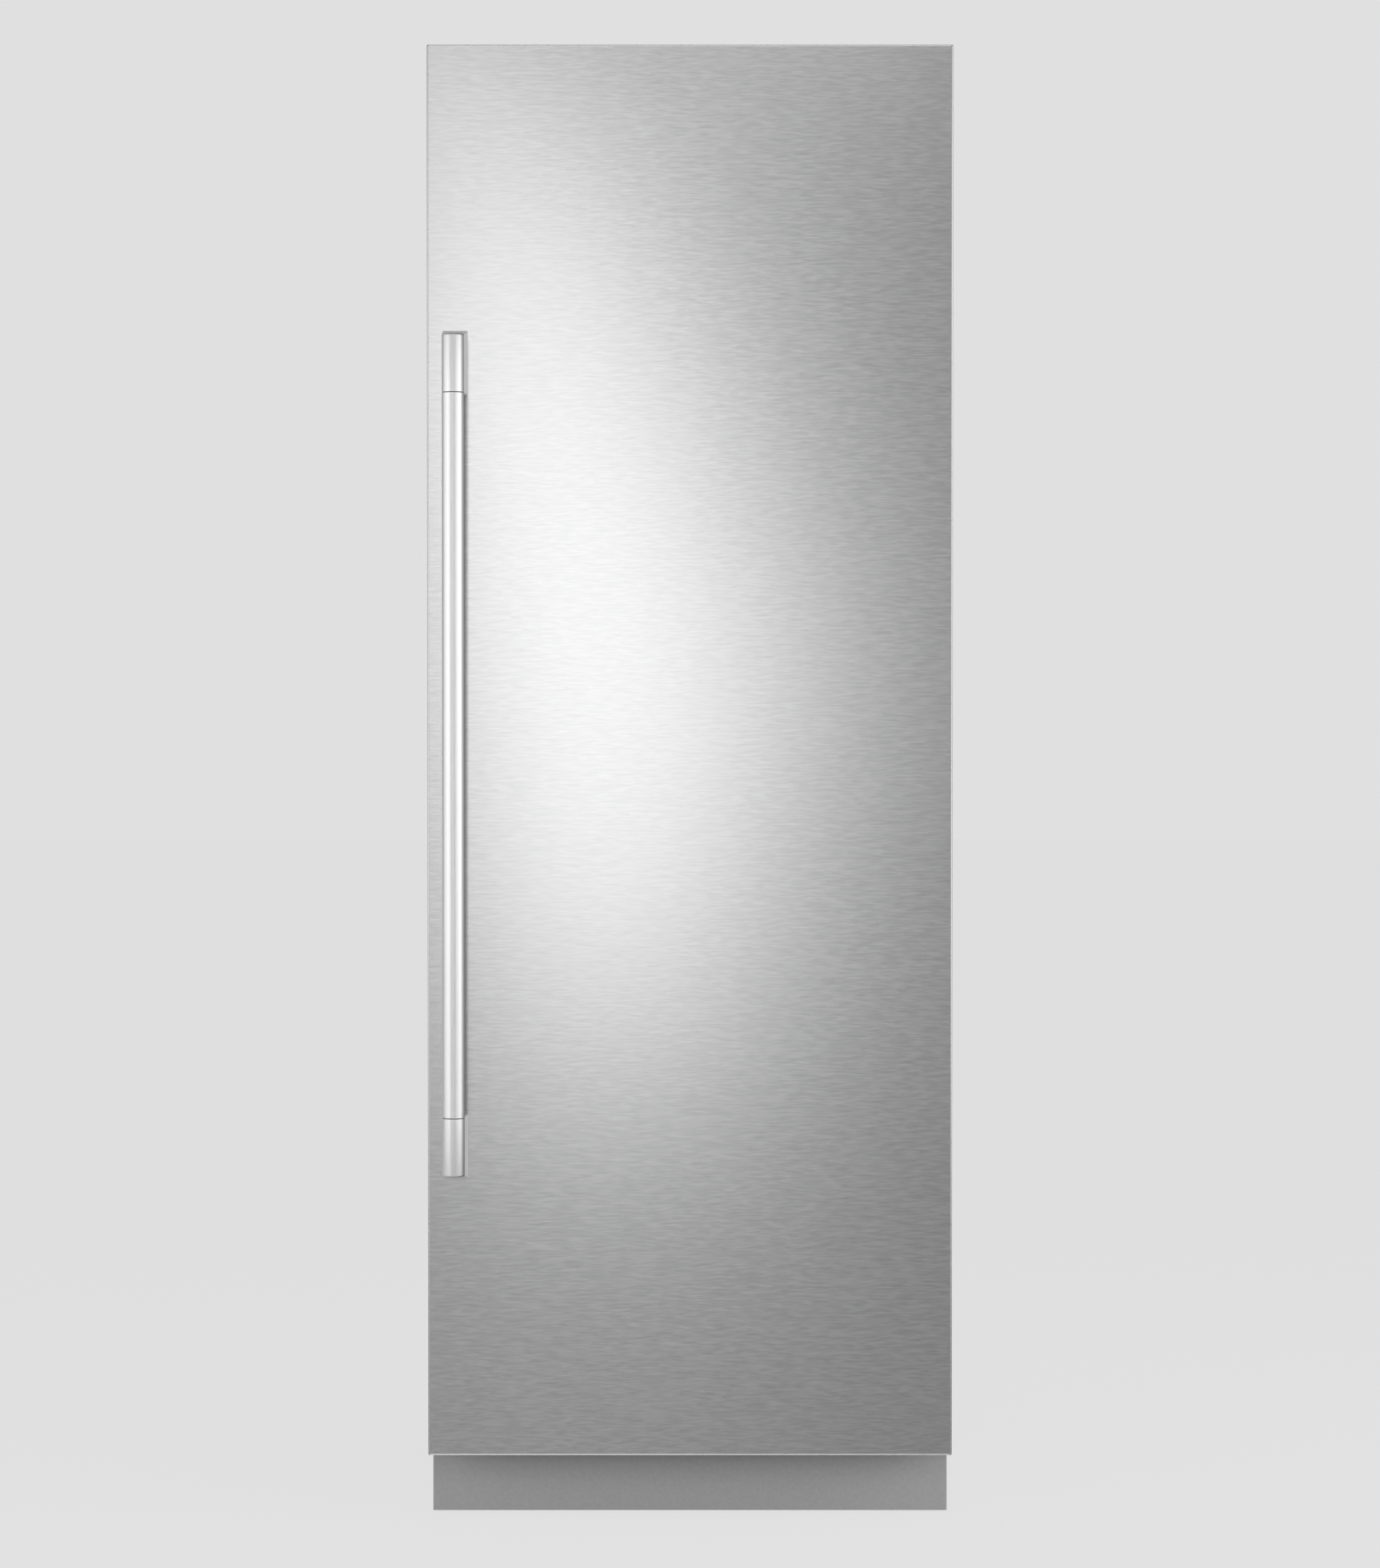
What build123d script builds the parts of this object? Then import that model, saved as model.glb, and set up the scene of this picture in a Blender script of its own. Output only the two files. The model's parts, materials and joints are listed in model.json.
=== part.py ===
from build123d import *
import os

os.makedirs("parts", exist_ok=True)

# Overall sizes, in millimetres: the front faces -Y, Z is up and the floor is at 0
door_width = 756.0
overall_height = 2127.0
toe_space_height = 96.0
cabinet_depth = 549.0
case_inset = 3.0
case_top_drop = 29.0

# Clearances and cuts
overrun = 6.0
seat_clearance = 0.3
fit_clearance = 0.05
sheet = 1.2
hexagon_sides = 6

# Door build-up
panel_depth = 19.0
panel_bend_radius = 2.5
panel_return = 14.0
inner_door_depth = 57.0
inner_door_inset = 6.0
inner_door_rise = 26.0
hinge_headroom = 6.0
door_gap = 10.0

# Handle
handle_diameter = 31.75
handle_wall = 2.0
handle_length = 1201.0
handle_middle_drop = 4.5
handle_edge_distance = 40.5
handle_standoff = 62.0
handle_post_length = 83.0
handle_post_flare = 9.0
handle_base_width = 36.0
handle_collar_length = 1.4
handle_collar_step = 0.7
handle_end_bevel = 2.5
handle_spigot_length = 24.0

# Cabinet walls
side_wall = 54.0
top_wall = 55.0
floor_wall = 49.0
rear_wall = 59.0
liner_wall = 3.0
liner_corner_radius = 16.0
deck_z = 100.0
case_foot_z = 14.0

# Machine bay behind and under the cavity
bay_depth = 178.0
bay_ceiling_z = 290.0
bay_wall = 42.0

# Places along the depth, from the back of the cabinet to the handle
handle_radius = handle_diameter / 2
total_depth = handle_standoff + handle_radius + panel_depth + inner_door_depth + door_gap + cabinet_depth
back_y = total_depth / 2
cabinet_y = back_y - cabinet_depth
inner_back_y = cabinet_y - door_gap
inner_front_y = inner_back_y - inner_door_depth
panel_y = inner_front_y - panel_depth
handle_y = panel_y - handle_standoff
bay_front_y = back_y - bay_depth

# Places across the width and up the height
door_half = door_width / 2
case_half = door_half - case_inset
inner_half = door_half - inner_door_inset
case_top_z = overall_height - case_top_drop
inner_low_z = toe_space_height + inner_door_rise
inner_high_z = case_top_z - hinge_headroom
cavity_half = case_half - side_wall
cavity_floor_z = deck_z + floor_wall
cavity_top_z = case_top_z - top_wall
cavity_back_y = back_y - rear_wall
hump_y = bay_front_y - bay_wall
hump_z = bay_ceiling_z + bay_wall
handle_middle_z = (toe_space_height + overall_height) / 2 - handle_middle_drop

# Hinge on the right-hand edge
hinge_edge_distance = 22.0
hinge_axis_depth = 40.0
hinge_pin_radius = 5.0
hinge_pin_depth = 20.0
hinge_bush_wall = 4.0
hinge_bush_rise = 2.0
hinge_plate = 6.0
hinge_nose_radius = 10.0
hinge_plate_width = 70.0
hinge_plate_reach = 90.0
hinge_leg_height = 20.0
hinge_x = door_half - hinge_edge_distance
hinge_y = panel_y + hinge_axis_depth
bush_radius = hinge_pin_radius + hinge_bush_wall


def both(half):
    """The span from -half to +half."""
    return -half, half


def block(x_span, y_span, z_span):
    """A box between two limits along each axis."""
    spans = (x_span, y_span, z_span)
    size = [high - low for low, high in spans]
    middle = [(low + high) / 2 for low, high in spans]
    return Pos(*middle) * Box(*size)


def rod(start, direction, radius, length):
    """A cylinder that starts at a point and runs along a direction."""
    seat = Plane(origin=start, z_dir=direction)
    return seat * Cylinder(radius, length, align=(Align.CENTER, Align.CENTER, Align.MIN))


def ring(start, direction, outer_radius, inner_radius, length):
    """A tube with open ends."""
    bore_start = Vector(start) - Vector(direction) * overrun
    return rod(start, direction, outer_radius, length) - rod(
        bore_start, direction, inner_radius, length + overrun + overrun
    )


def prism(start, direction, corner_radius, length, sides=hexagon_sides):
    """A bar with flat sides that starts at a point and runs along a direction."""
    return extrude(Plane(origin=start, z_dir=direction) * RegularPolygon(corner_radius, sides), amount=length)


def soften(solid, axis, radius):
    """Rounds every edge that runs along one axis."""
    return fillet(solid.edges().filter_by(axis), radius)


def bevel(solid, axis, length):
    """Cuts a flat bevel along every edge that runs along one axis."""
    return chamfer(solid.edges().filter_by(axis), length)


def centred_places(count, pitch, middle):
    """Equal steps about a middle value."""
    return [middle + (index - (count - 1) / 2) * pitch for index in range(count)]


def write(node, *shapes):
    """Writes one node, as one solid or as a group of separate solids."""
    solids = [solid for shape in shapes for solid in shape.solids()]
    export_step(solids[0] if len(solids) == 1 else Compound(solids), f"parts/{node}.step")


# Cabinet: folded case, back sheet, deck, foam and liner
def stepped_block(half, y_span, step_y, z_span, step_z):
    """A tall box whose lower rear corner is stepped out for the machine bay."""
    front, rear = y_span
    low, high = z_span
    outline = Polyline(
        (front, low), (step_y, low), (step_y, step_z), (rear, step_z), (rear, high), (front, high), close=True
    )
    return extrude(Plane.YZ * make_face(outline), amount=half, both=True)


def cavity_form(growth):
    """The storage space, grown outwards by the liner's wall for its outer skin."""
    form = stepped_block(
        cavity_half + growth,
        (cabinet_y - overrun, cavity_back_y + growth),
        hump_y + growth,
        (cavity_floor_z - growth, cavity_top_z + growth),
        hump_z - growth,
    )
    lengthwise = form.edges().filter_by(Axis.Y).sort_by(Axis.X)
    outer = [edge for edge in lengthwise if abs(edge.center().Z - (hump_z - growth)) > overrun]
    return fillet(outer, liner_corner_radius + growth)


def cavity_liner():
    shell = cavity_form(liner_wall) - cavity_form(0)
    return shell - block(both(door_width), (cabinet_y - cabinet_depth, cabinet_y), (0, overall_height))


def cabinet_foam():
    rough = stepped_block(
        case_half - sheet,
        (cabinet_y + sheet, back_y - sheet),
        bay_front_y - sheet,
        (deck_z + sheet, case_top_z - sheet),
        bay_ceiling_z + sheet,
    )
    return rough - cavity_form(liner_wall) - back_beads(0, (back_y - sheet - back_bead_height, back_y))


toe_flange = 20.0


def case_form():
    """The case's outer skin with the face that the door seals against, as one sheet."""
    outer = block(both(case_half), (cabinet_y, back_y), (case_foot_z, case_top_z))
    hollow = block(
        both(case_half - sheet), (cabinet_y + sheet, back_y + overrun), (case_foot_z - overrun, case_top_z - sheet)
    )
    toe_opening = block(
        both(case_half - toe_flange), (cabinet_y - overrun, cabinet_y + overrun), (case_foot_z - overrun, deck_z)
    )
    return outer - hollow - cavity_form(liner_wall) - toe_opening


def case_panels():
    """Two side panels and a top panel, each folded over at the front, and the sill under the cavity."""
    form = case_form()
    seam_x = cavity_half + liner_wall
    depth = both(total_depth)
    below_top = (0, case_top_z - sheet)
    sides = [form & block(sorted((side * seam_x, side * door_width)), depth, below_top) for side in (-1, 1)]
    front = form & block(both(seam_x), depth, below_top)
    sill, head = front.solids().sort_by(Axis.Z)
    top = head + (form & block(both(door_width), depth, (case_top_z - sheet, overall_height)))
    return sides + [top, sill]


back_bead_width = 30.0
back_bead_height = 2.0
back_bead_margin = 90.0
back_bead_count = 3


def back_beads(drawn_in, y_span):
    """The upright beads pressed into the rear sheet, drawn in at their edges by a wall."""
    half = back_bead_width / 2 - drawn_in
    z_span = (bay_ceiling_z + back_bead_margin + drawn_in, case_top_z - back_bead_margin - drawn_in)
    pitch = (case_half - back_bead_margin) * 2 / (back_bead_count - 1)
    return [block((x - half, x + half), y_span, z_span) for x in centred_places(back_bead_count, pitch, 0)]


def case_back():
    """The rear sheet, with pressed beads that stiffen it."""
    z_span = (bay_ceiling_z + sheet, case_top_z - sheet)
    plate = block(both(case_half - sheet), (back_y - sheet, back_y), z_span)
    beads = back_beads(0, (back_y - sheet - back_bead_height, back_y - sheet))
    grooves = back_beads(sheet, (back_y - back_bead_height, back_y + overrun))
    return plate + beads - grooves


def base_deck():
    """The folded sheet under the foam, stepped up over the machine bay."""
    outer = stepped_block(
        case_half - sheet,
        (cabinet_y + sheet, back_y),
        bay_front_y,
        (deck_z, bay_ceiling_z + sheet),
        bay_ceiling_z,
    )
    inner = stepped_block(
        case_half,
        (cabinet_y - overrun, back_y + overrun),
        bay_front_y - sheet,
        (deck_z + sheet, bay_ceiling_z + sheet + overrun),
        bay_ceiling_z + sheet,
    )
    return outer - inner


# Base: rails, levelling legs, rollers and toe kick
rail_width = 40.0
rail_wall = 2.5
rail_inset = 12.0
rail_low_z = 16.0
leg_setback = 40.0
leg_foot_radius = 16.0
leg_foot_height = 10.0
leg_stem_radius = 6.0
leg_nut_height = 18.0
leg_nut_z = 50.0
roller_radius = 28.0
roller_width = 24.0
roller_setback = 60.0
axle_radius = 5.0
axle_head_radius = 8.0
axle_head_height = 3.0
rail_x = case_half - sheet - rail_inset - rail_width / 2
leg_y = cabinet_y + leg_setback
roller_y = back_y - roller_setback
axle_half = rail_width / 2 + axle_head_height


def base_rail(side):
    """A channel, open downwards, that carries one side of the cabinet."""
    x = side * rail_x
    half = rail_width / 2
    y_span = (cabinet_y + sheet + seat_clearance, back_y - sheet - seat_clearance)
    outer = block((x - half, x + half), y_span, (rail_low_z, deck_z))
    hollow = block(
        (x - half + rail_wall, x + half - rail_wall),
        (cabinet_y - overrun, back_y + overrun),
        (rail_low_z - overrun, deck_z - rail_wall),
    )
    nut = block(
        (x - half + rail_wall, x + half - rail_wall),
        (leg_y - half, leg_y + half),
        (leg_nut_z, leg_nut_z + leg_nut_height),
    )
    axle = rod((x - axle_half, roller_y, roller_radius), (1, 0, 0), axle_radius, axle_half * 2)
    return outer - hollow + nut - axle


def levelling_leg(side):
    """A hexagonal foot, turned with a spanner, on the stem that screws into the rail's nut."""
    foot = prism((side * rail_x, leg_y, 0), (0, 0, 1), leg_foot_radius, leg_foot_height)
    return foot + rod((side * rail_x, leg_y, leg_foot_height), (0, 0, 1), leg_stem_radius,
                      leg_nut_z - leg_foot_height)


def roller(side):
    x = side * rail_x
    return ring(
        (x - roller_width / 2, roller_y, roller_radius),
        (1, 0, 0),
        roller_radius,
        axle_radius + fit_clearance,
        roller_width,
    )


def roller_axle(side):
    """A bolt through both walls of the rail, with its head and nut outside them."""
    x = side * rail_x
    shaft = rod((x - axle_half, roller_y, roller_radius), (1, 0, 0), axle_radius, axle_half * 2)
    for end in (-1, 1):
        start = (x + end * rail_width / 2, roller_y, roller_radius)
        shaft = shaft + prism(start, (end, 0, 0), axle_head_radius, axle_head_height)
    return shaft


toe_kick_clearance = 3.0
toe_kick_sheet = 1.5
toe_kick_lip = 10.0


def toe_kick():
    """The plate under the door: a shallow tray that screws to the front of the case."""
    z_span = (toe_kick_clearance, toe_space_height - toe_kick_clearance)
    y_span = (cabinet_y - toe_kick_lip, cabinet_y)
    outer = block(both(case_half), y_span, z_span)
    outer = soften(outer, Axis.Z, toe_kick_sheet)
    hollow = block(
        both(case_half - toe_kick_sheet),
        (y_span[0] + toe_kick_sheet, y_span[1] + overrun),
        (z_span[0] + toe_kick_sheet, z_span[1] - toe_kick_sheet),
    )
    plate = outer - hollow
    for side in (-1, 1):
        inner_x = case_half - toe_flange
        tab = block(
            sorted((side * inner_x, side * (case_half - toe_kick_sheet / 2))),
            (cabinet_y - toe_kick_sheet, cabinet_y),
            (case_foot_z, deck_z - toe_kick_lip),
        )
        plate = plate + tab
    return plate


# Machine bay: tray, compressor, condenser, fan, drain pan and pipes
tray_sheet = 1.5
compressor_inset = 165.0
compressor_radius = 74.0
compressor_height = 125.0
compressor_foot_radius = 82.0
compressor_foot_height = 4.0
compressor_dome = 34.0
compressor_seam = 3.0
compressor_seam_height = 5.0
grommet_radius = 10.0
grommet_height = 10.0
grommet_circle_share = 0.62
terminal_width = 36.0
terminal_depth = 14.0
terminal_height = 40.0
bay_middle_y = (bay_front_y + back_y) / 2
tray_top_z = deck_z + tray_sheet
compressor_low_z = tray_top_z + grommet_height
compressor_x = case_half - compressor_inset


def compressor_tray():
    return block(both(case_half - sheet), (bay_front_y + sheet, back_y - sheet), (deck_z, tray_top_z))


def compressor():
    """A welded steel shell with a domed top, a seam and a round foot plate."""
    top = compressor_low_z + compressor_height
    shell = rod((compressor_x, bay_middle_y, compressor_low_z), (0, 0, 1), compressor_radius, compressor_height)
    shell = chamfer(shell.edges().filter_by(GeomType.CIRCLE).sort_by(Axis.Z)[-1], compressor_dome)
    foot = rod(
        (compressor_x, bay_middle_y, compressor_low_z), (0, 0, 1), compressor_foot_radius, compressor_foot_height
    )
    seam_z = top - compressor_dome - compressor_seam_height
    seam_start = (compressor_x, bay_middle_y, seam_z)
    seam = rod(seam_start, (0, 0, 1), compressor_radius + compressor_seam, compressor_seam_height)
    terminal_x = compressor_x - compressor_radius
    terminal = block(
        (terminal_x - terminal_depth, terminal_x + compressor_dome),
        (bay_middle_y - terminal_width / 2, bay_middle_y + terminal_width / 2),
        (compressor_low_z + terminal_height, compressor_low_z + terminal_height * 2),
    )
    return shell + foot + seam + terminal


def grommets():
    """The four rubber feet under the compressor's plate."""
    reach = compressor_foot_radius * grommet_circle_share
    places = [(sx * reach, sy * reach) for sx in (-1, 1) for sy in (-1, 1)]
    return [
        prism((compressor_x + x, bay_middle_y + y, tray_top_z), (0, 0, 1), grommet_radius, grommet_height)
        for x, y in places
    ]


fin_pitch = 20.0
fin_share = 0.2
condenser_inset = 160.0
condenser_width = 190.0
condenser_height = 120.0
condenser_depth = 130.0
drain_pan_height = 26.0
drain_pan_wall = 2.5
drain_pan_margin = 8.0
coil_tube_radius = 4.0
coil_tube_count = 3
coil_plate = 2.0
coil_bend_facets = 8
condenser_x = condenser_inset - case_half


def finned_coil(middle, width, depth, height):
    """A fin and tube coil: a comb of upright fins between two end plates, with return bends outside."""
    x, y, low_z = middle
    z_span = (low_z, low_z + height)
    fin_half = fin_pitch * fin_share / 2
    y_span = (y - depth / 2, y + depth / 2)
    spine = block((x - width / 2, x + width / 2), (y - depth * fin_share / 2, y + depth * fin_share / 2), z_span)
    pieces = [
        block((fin_x - fin_half, fin_x + fin_half), y_span, z_span)
        for fin_x in centred_places(int(width / fin_pitch), fin_pitch, x)
    ]
    rise = height / coil_tube_count
    for side in (-1, 1):
        plate_x = x + side * width / 2
        end_x = plate_x + side * coil_plate
        pieces.append(block(sorted((plate_x, end_x)), y_span, z_span))
        for bend_z in centred_places(coil_tube_count, rise, low_z + height / 2):
            seat = Plane(origin=(end_x, y, bend_z - coil_tube_radius), z_dir=(0, 0, 1))
            loop = RegularPolygon(depth / 4 + coil_tube_radius, coil_bend_facets, major_radius=False)
            hole = RegularPolygon(depth / 4 - coil_tube_radius, coil_bend_facets, major_radius=False)
            bend = extrude(seat * (loop - hole), amount=coil_tube_radius * 2)
            outside = sorted((end_x, end_x + side * depth))
            pieces.append(bend & block(outside, y_span, z_span))
    return spine + pieces


def condenser():
    low_z = tray_top_z + drain_pan_height
    return finned_coil((condenser_x, bay_middle_y, low_z), condenser_width, condenser_depth, condenser_height)


def drain_pan():
    """A tray that catches defrost water and holds the condenser above it."""
    half_x = condenser_width / 2 + drain_pan_margin
    half_y = condenser_depth / 2 + drain_pan_margin
    x_span = (condenser_x - half_x, condenser_x + half_x)
    y_span = (bay_middle_y - half_y, bay_middle_y + half_y)
    outer = bevel(block(x_span, y_span, (tray_top_z, tray_top_z + drain_pan_height)), Axis.Z, drain_pan_margin)
    hollow = block(
        (x_span[0] + drain_pan_wall, x_span[1] - drain_pan_wall),
        (y_span[0] + drain_pan_wall, y_span[1] - drain_pan_wall),
        (tray_top_z + drain_pan_wall, tray_top_z + drain_pan_height + overrun),
    )
    hollow = bevel(hollow, Axis.Z, drain_pan_margin - drain_pan_wall)
    rest = block(
        (condenser_x - condenser_width / 2, condenser_x + condenser_width / 2),
        (bay_middle_y - drain_pan_margin, bay_middle_y + drain_pan_margin),
        (tray_top_z, tray_top_z + drain_pan_height),
    )
    return outer - hollow + rest


fan_hub_radius = 18.0
fan_hub_length = 22.0
fan_blade_count = 5
fan_blade_width = 34.0
fan_blade_wall = 2.0
fan_pitch_degrees = 30.0
blade_root_share = 0.8
blade_tip_share = 0.35
fan_radius = 66.0
fan_gap = 4.0
shroud_gap = 60.0
shroud_wall = 3.0
shroud_depth = 24.0
shroud_size = 150.0
shroud_corner = 12.0
motor_radius = 22.0
motor_length = 26.0
motor_arm = 10.0
motor_shaft_radius = 4.0
shaft_reach = 12.0
fan_z = tray_top_z + shroud_size / 2
shroud_x = condenser_x + condenser_width / 2 + shroud_gap


def axial_fan(hub_radius, hub_length, tip_radius, blade_width):
    """A hub with pitched blades about the Z axis, from the plane at 0 upwards, bored for its shaft."""
    hub = ring((0, 0, 0), (0, 0, 1), hub_radius, motor_shaft_radius + fit_clearance, hub_length)
    root = hub_radius * blade_root_share
    blade = block((root, tip_radius), both(blade_width / 2), both(fan_blade_wall / 2))
    tips = blade.edges().filter_by(Axis.Z).sort_by(Axis.X)[-2:]
    blade = chamfer(tips, blade_width * blade_tip_share)
    blade = Pos(0, 0, hub_length / 2) * Rot(fan_pitch_degrees, 0, 0) * blade
    return hub + [Rot(0, 0, index * 360 / fan_blade_count) * blade for index in range(fan_blade_count)]


def condenser_fan():
    spin = Plane(origin=(shroud_x - fan_hub_length / 2, bay_middle_y, fan_z), z_dir=(1, 0, 0))
    return spin * axial_fan(fan_hub_radius, fan_hub_length, fan_radius, fan_blade_width)


def condenser_shroud():
    """A square plate with a round throat, and a motor on three arms behind the fan."""
    half = shroud_size / 2
    x_span = (shroud_x - shroud_depth / 2, shroud_x + shroud_depth / 2)
    throat = fan_radius + fan_gap
    frame = block(
        (x_span[1] - shroud_wall, x_span[1]),
        (bay_middle_y - half, bay_middle_y + half),
        (fan_z - half, fan_z + half),
    )
    frame = bevel(frame, Axis.X, shroud_corner)
    frame = frame + rod((x_span[0], bay_middle_y, fan_z), (1, 0, 0), throat + shroud_wall, shroud_depth)
    frame = frame - rod((x_span[0] - overrun, bay_middle_y, fan_z), (1, 0, 0), throat, shroud_depth + overrun * 2)
    motor_x = shroud_x + fan_hub_length / 2 + fan_gap
    motor = rod((motor_x, bay_middle_y, fan_z), (1, 0, 0), motor_radius, motor_length)
    motor = motor + rod(
        (motor_x, bay_middle_y, fan_z), (-1, 0, 0), motor_shaft_radius, fan_gap + shaft_reach
    )
    arm_x = (motor_x, motor_x + motor_arm)
    for side in (-1, 1):
        span = sorted((bay_middle_y, bay_middle_y + side * (half - shroud_wall)))
        motor = motor + block(arm_x, span, (fan_z - motor_arm / 2, fan_z + motor_arm / 2))
        foot = sorted((bay_middle_y + side * (throat + shroud_wall), bay_middle_y + side * (half - shroud_wall)))
        motor = motor + block((x_span[1] - shroud_wall, arm_x[1]), foot,
                              (fan_z - motor_arm / 2, fan_z + motor_arm / 2))
    return frame + motor


pipe_radius = 4.0
pipe_bend = 15.0
quarter_turn = 90.0
pipe_facets = 8
pipe_drop = 22.0
suction_offset = 24.0
drier_radius = 9.0
drier_length = 26.0
drier_inset = 60.0


def pipe_run(start, direction, length):
    return prism(start, direction, pipe_radius, length, pipe_facets)


def pipe_elbow(x, side, run_z):
    """The bend where an upright pipe turns inwards into the level run under the ceiling."""
    centre = (x + side * pipe_bend, bay_middle_y, run_z - pipe_bend)
    seat = Plane(origin=(x, bay_middle_y, run_z - pipe_bend), z_dir=(0, 0, 1))
    profile = seat * RegularPolygon(pipe_radius, pipe_facets)
    return revolve(profile, Axis(centre, (0, side, 0)), quarter_turn)


def refrigerant_pipes():
    """Discharge pipe to the coil, suction pipe from the ceiling, and the drier on the pipe that leaves."""
    ceiling_z = bay_ceiling_z
    top_z = compressor_low_z + compressor_height
    coil_top_z = tray_top_z + drain_pan_height + condenser_height
    run_z = ceiling_z - pipe_drop
    bend_z = run_z - pipe_bend
    level_length = compressor_x - condenser_x - pipe_bend * 2
    drop = pipe_run((condenser_x, bay_middle_y, coil_top_z), (0, 0, 1), bend_z - coil_top_z)
    discharge = [
        pipe_run((compressor_x, bay_middle_y, top_z), (0, 0, 1), bend_z - top_z),
        pipe_elbow(compressor_x, -1, run_z),
        pipe_run((condenser_x + pipe_bend, bay_middle_y, run_z), (1, 0, 0), level_length),
        pipe_elbow(condenser_x, 1, run_z),
    ]
    suction = pipe_run((compressor_x + suction_offset, bay_middle_y, top_z), (0, 0, 1), ceiling_z - top_z)
    drier_x = condenser_x - drier_inset
    leaving = pipe_run((drier_x, bay_middle_y, coil_top_z), (0, 0, 1), ceiling_z - coil_top_z)
    drier_z = (coil_top_z + ceiling_z - drier_length) / 2
    drier = rod((drier_x, bay_middle_y, drier_z), (0, 0, 1), drier_radius, drier_length)
    return drop + discharge, suction, leaving + drier


# Rear cover of the machine bay
cover_slot_web = 30.0
cover_slot_height = 7.0
cover_slot_pitch = 18.0
cover_slot_rows = 6
cover_slot_columns = 4
cover_field_share = 0.74
cover_column_pitch = case_half * 2 * cover_field_share / cover_slot_columns
cover_slot_width = cover_column_pitch - cover_slot_web
gland_radius = 14.0
gland_flange = 4.0
gland_length = 16.0
gland_bore = 5.0
gland_x_share = 0.86
gland_z = 150.0


def machine_cover():
    """A sheet with rows of air slots that closes the bay from behind."""
    plate = block(both(case_half - sheet), (back_y - sheet, back_y), (deck_z + seat_clearance, bay_ceiling_z))
    middle_z = (deck_z + bay_ceiling_z) / 2
    slots = [
        Pos(x, z) * Rectangle(cover_slot_width, cover_slot_height)
        for x in centred_places(cover_slot_columns, cover_column_pitch, 0)
        for z in centred_places(cover_slot_rows, cover_slot_pitch, middle_z)
    ]
    seat = Plane(origin=(0, back_y + overrun, 0), x_dir=(-1, 0, 0), z_dir=(0, 1, 0))
    plate = plate - [extrude(seat * slot, amount=-(overrun * 2)) for slot in slots]
    return plate - rod((gland_x(), back_y - overrun, gland_z), (0, 1, 0), gland_radius - gland_flange, overrun * 2)


def gland_x():
    return case_half * gland_x_share


def power_gland():
    """The bushing that a supply lead would pass through."""
    body_radius = gland_radius - gland_flange
    start = (gland_x(), back_y - gland_length, gland_z)
    body = rod(start, (0, 1, 0), body_radius, gland_length)
    flange = rod((gland_x(), back_y - sheet, gland_z), (0, -1, 0), gland_radius, gland_flange)
    bore = rod((gland_x(), back_y - gland_length - overrun, gland_z), (0, 1, 0), gland_bore,
               gland_length + overrun * 2)
    return body + flange - bore


# Cold air parts on the rear wall: evaporator, its fan, duct cover and shelf tracks
duct_side_gap = 126.0
duct_depth = 46.0
duct_wall = 2.5
duct_corner = 14.0
duct_margin = 8.0
duct_slot_web = 22.0
duct_slot_height = 8.0
duct_slot_pitch = 14.0
duct_slot_columns = 3
duct_field_share = 0.7
grille_slot_count = 7
air_fan_radius = 50.0
air_fan_hub_radius = 14.0
air_fan_hub_length = 14.0
air_fan_blade_width = 16.0
air_fan_z = 700.0
evaporator_side_gap = 30.0
evaporator_depth = 34.0
evaporator_height = 190.0
evaporator_z = 420.0
track_width = 18.0
track_depth = 8.0
track_wall = 1.6
track_slot_width = 6.0
track_slot_height = 14.0
track_pitch = 90.0
track_gap = 41.0
track_margin = 30.0
duct_front_y = cavity_back_y - duct_depth
duct_half = cavity_half - duct_side_gap
duct_column_pitch = duct_half * 2 * duct_field_share / duct_slot_columns
duct_slot_width = duct_column_pitch - duct_slot_web
evaporator_width = (duct_half - evaporator_side_gap) * 2
track_x = duct_half + track_gap


def evaporator():
    middle = (0, cavity_back_y - evaporator_depth / 2, evaporator_z)
    return finned_coil(middle, evaporator_width, evaporator_depth, evaporator_height)


def air_fan():
    spin = Plane(origin=(0, duct_front_y + duct_wall + fan_gap + air_fan_hub_length, air_fan_z),
                 x_dir=(1, 0, 0), z_dir=(0, -1, 0))
    return spin * axial_fan(air_fan_hub_radius, air_fan_hub_length, air_fan_radius, air_fan_blade_width)


def air_fan_motor():
    """A motor on a cross arm that is fixed to the liner behind the duct cover."""
    hub_back_y = duct_front_y + duct_wall + fan_gap + air_fan_hub_length
    front = hub_back_y + seat_clearance
    motor = rod((0, front, air_fan_z), (0, 1, 0), motor_radius, cavity_back_y - front)
    shaft = rod((0, front, air_fan_z), (0, -1, 0), motor_shaft_radius, air_fan_hub_length)
    arm = block(both(air_fan_radius), (cavity_back_y - motor_arm, cavity_back_y),
                (air_fan_z - motor_arm / 2, air_fan_z + motor_arm / 2))
    return motor + shaft + arm


def slot_row(middle_z):
    """A row of air slots for the upright cover."""
    return [
        Pos(x, middle_z) * Rectangle(duct_slot_width, duct_slot_height)
        for x in centred_places(duct_slot_columns, duct_column_pitch, 0)
    ]


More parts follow.
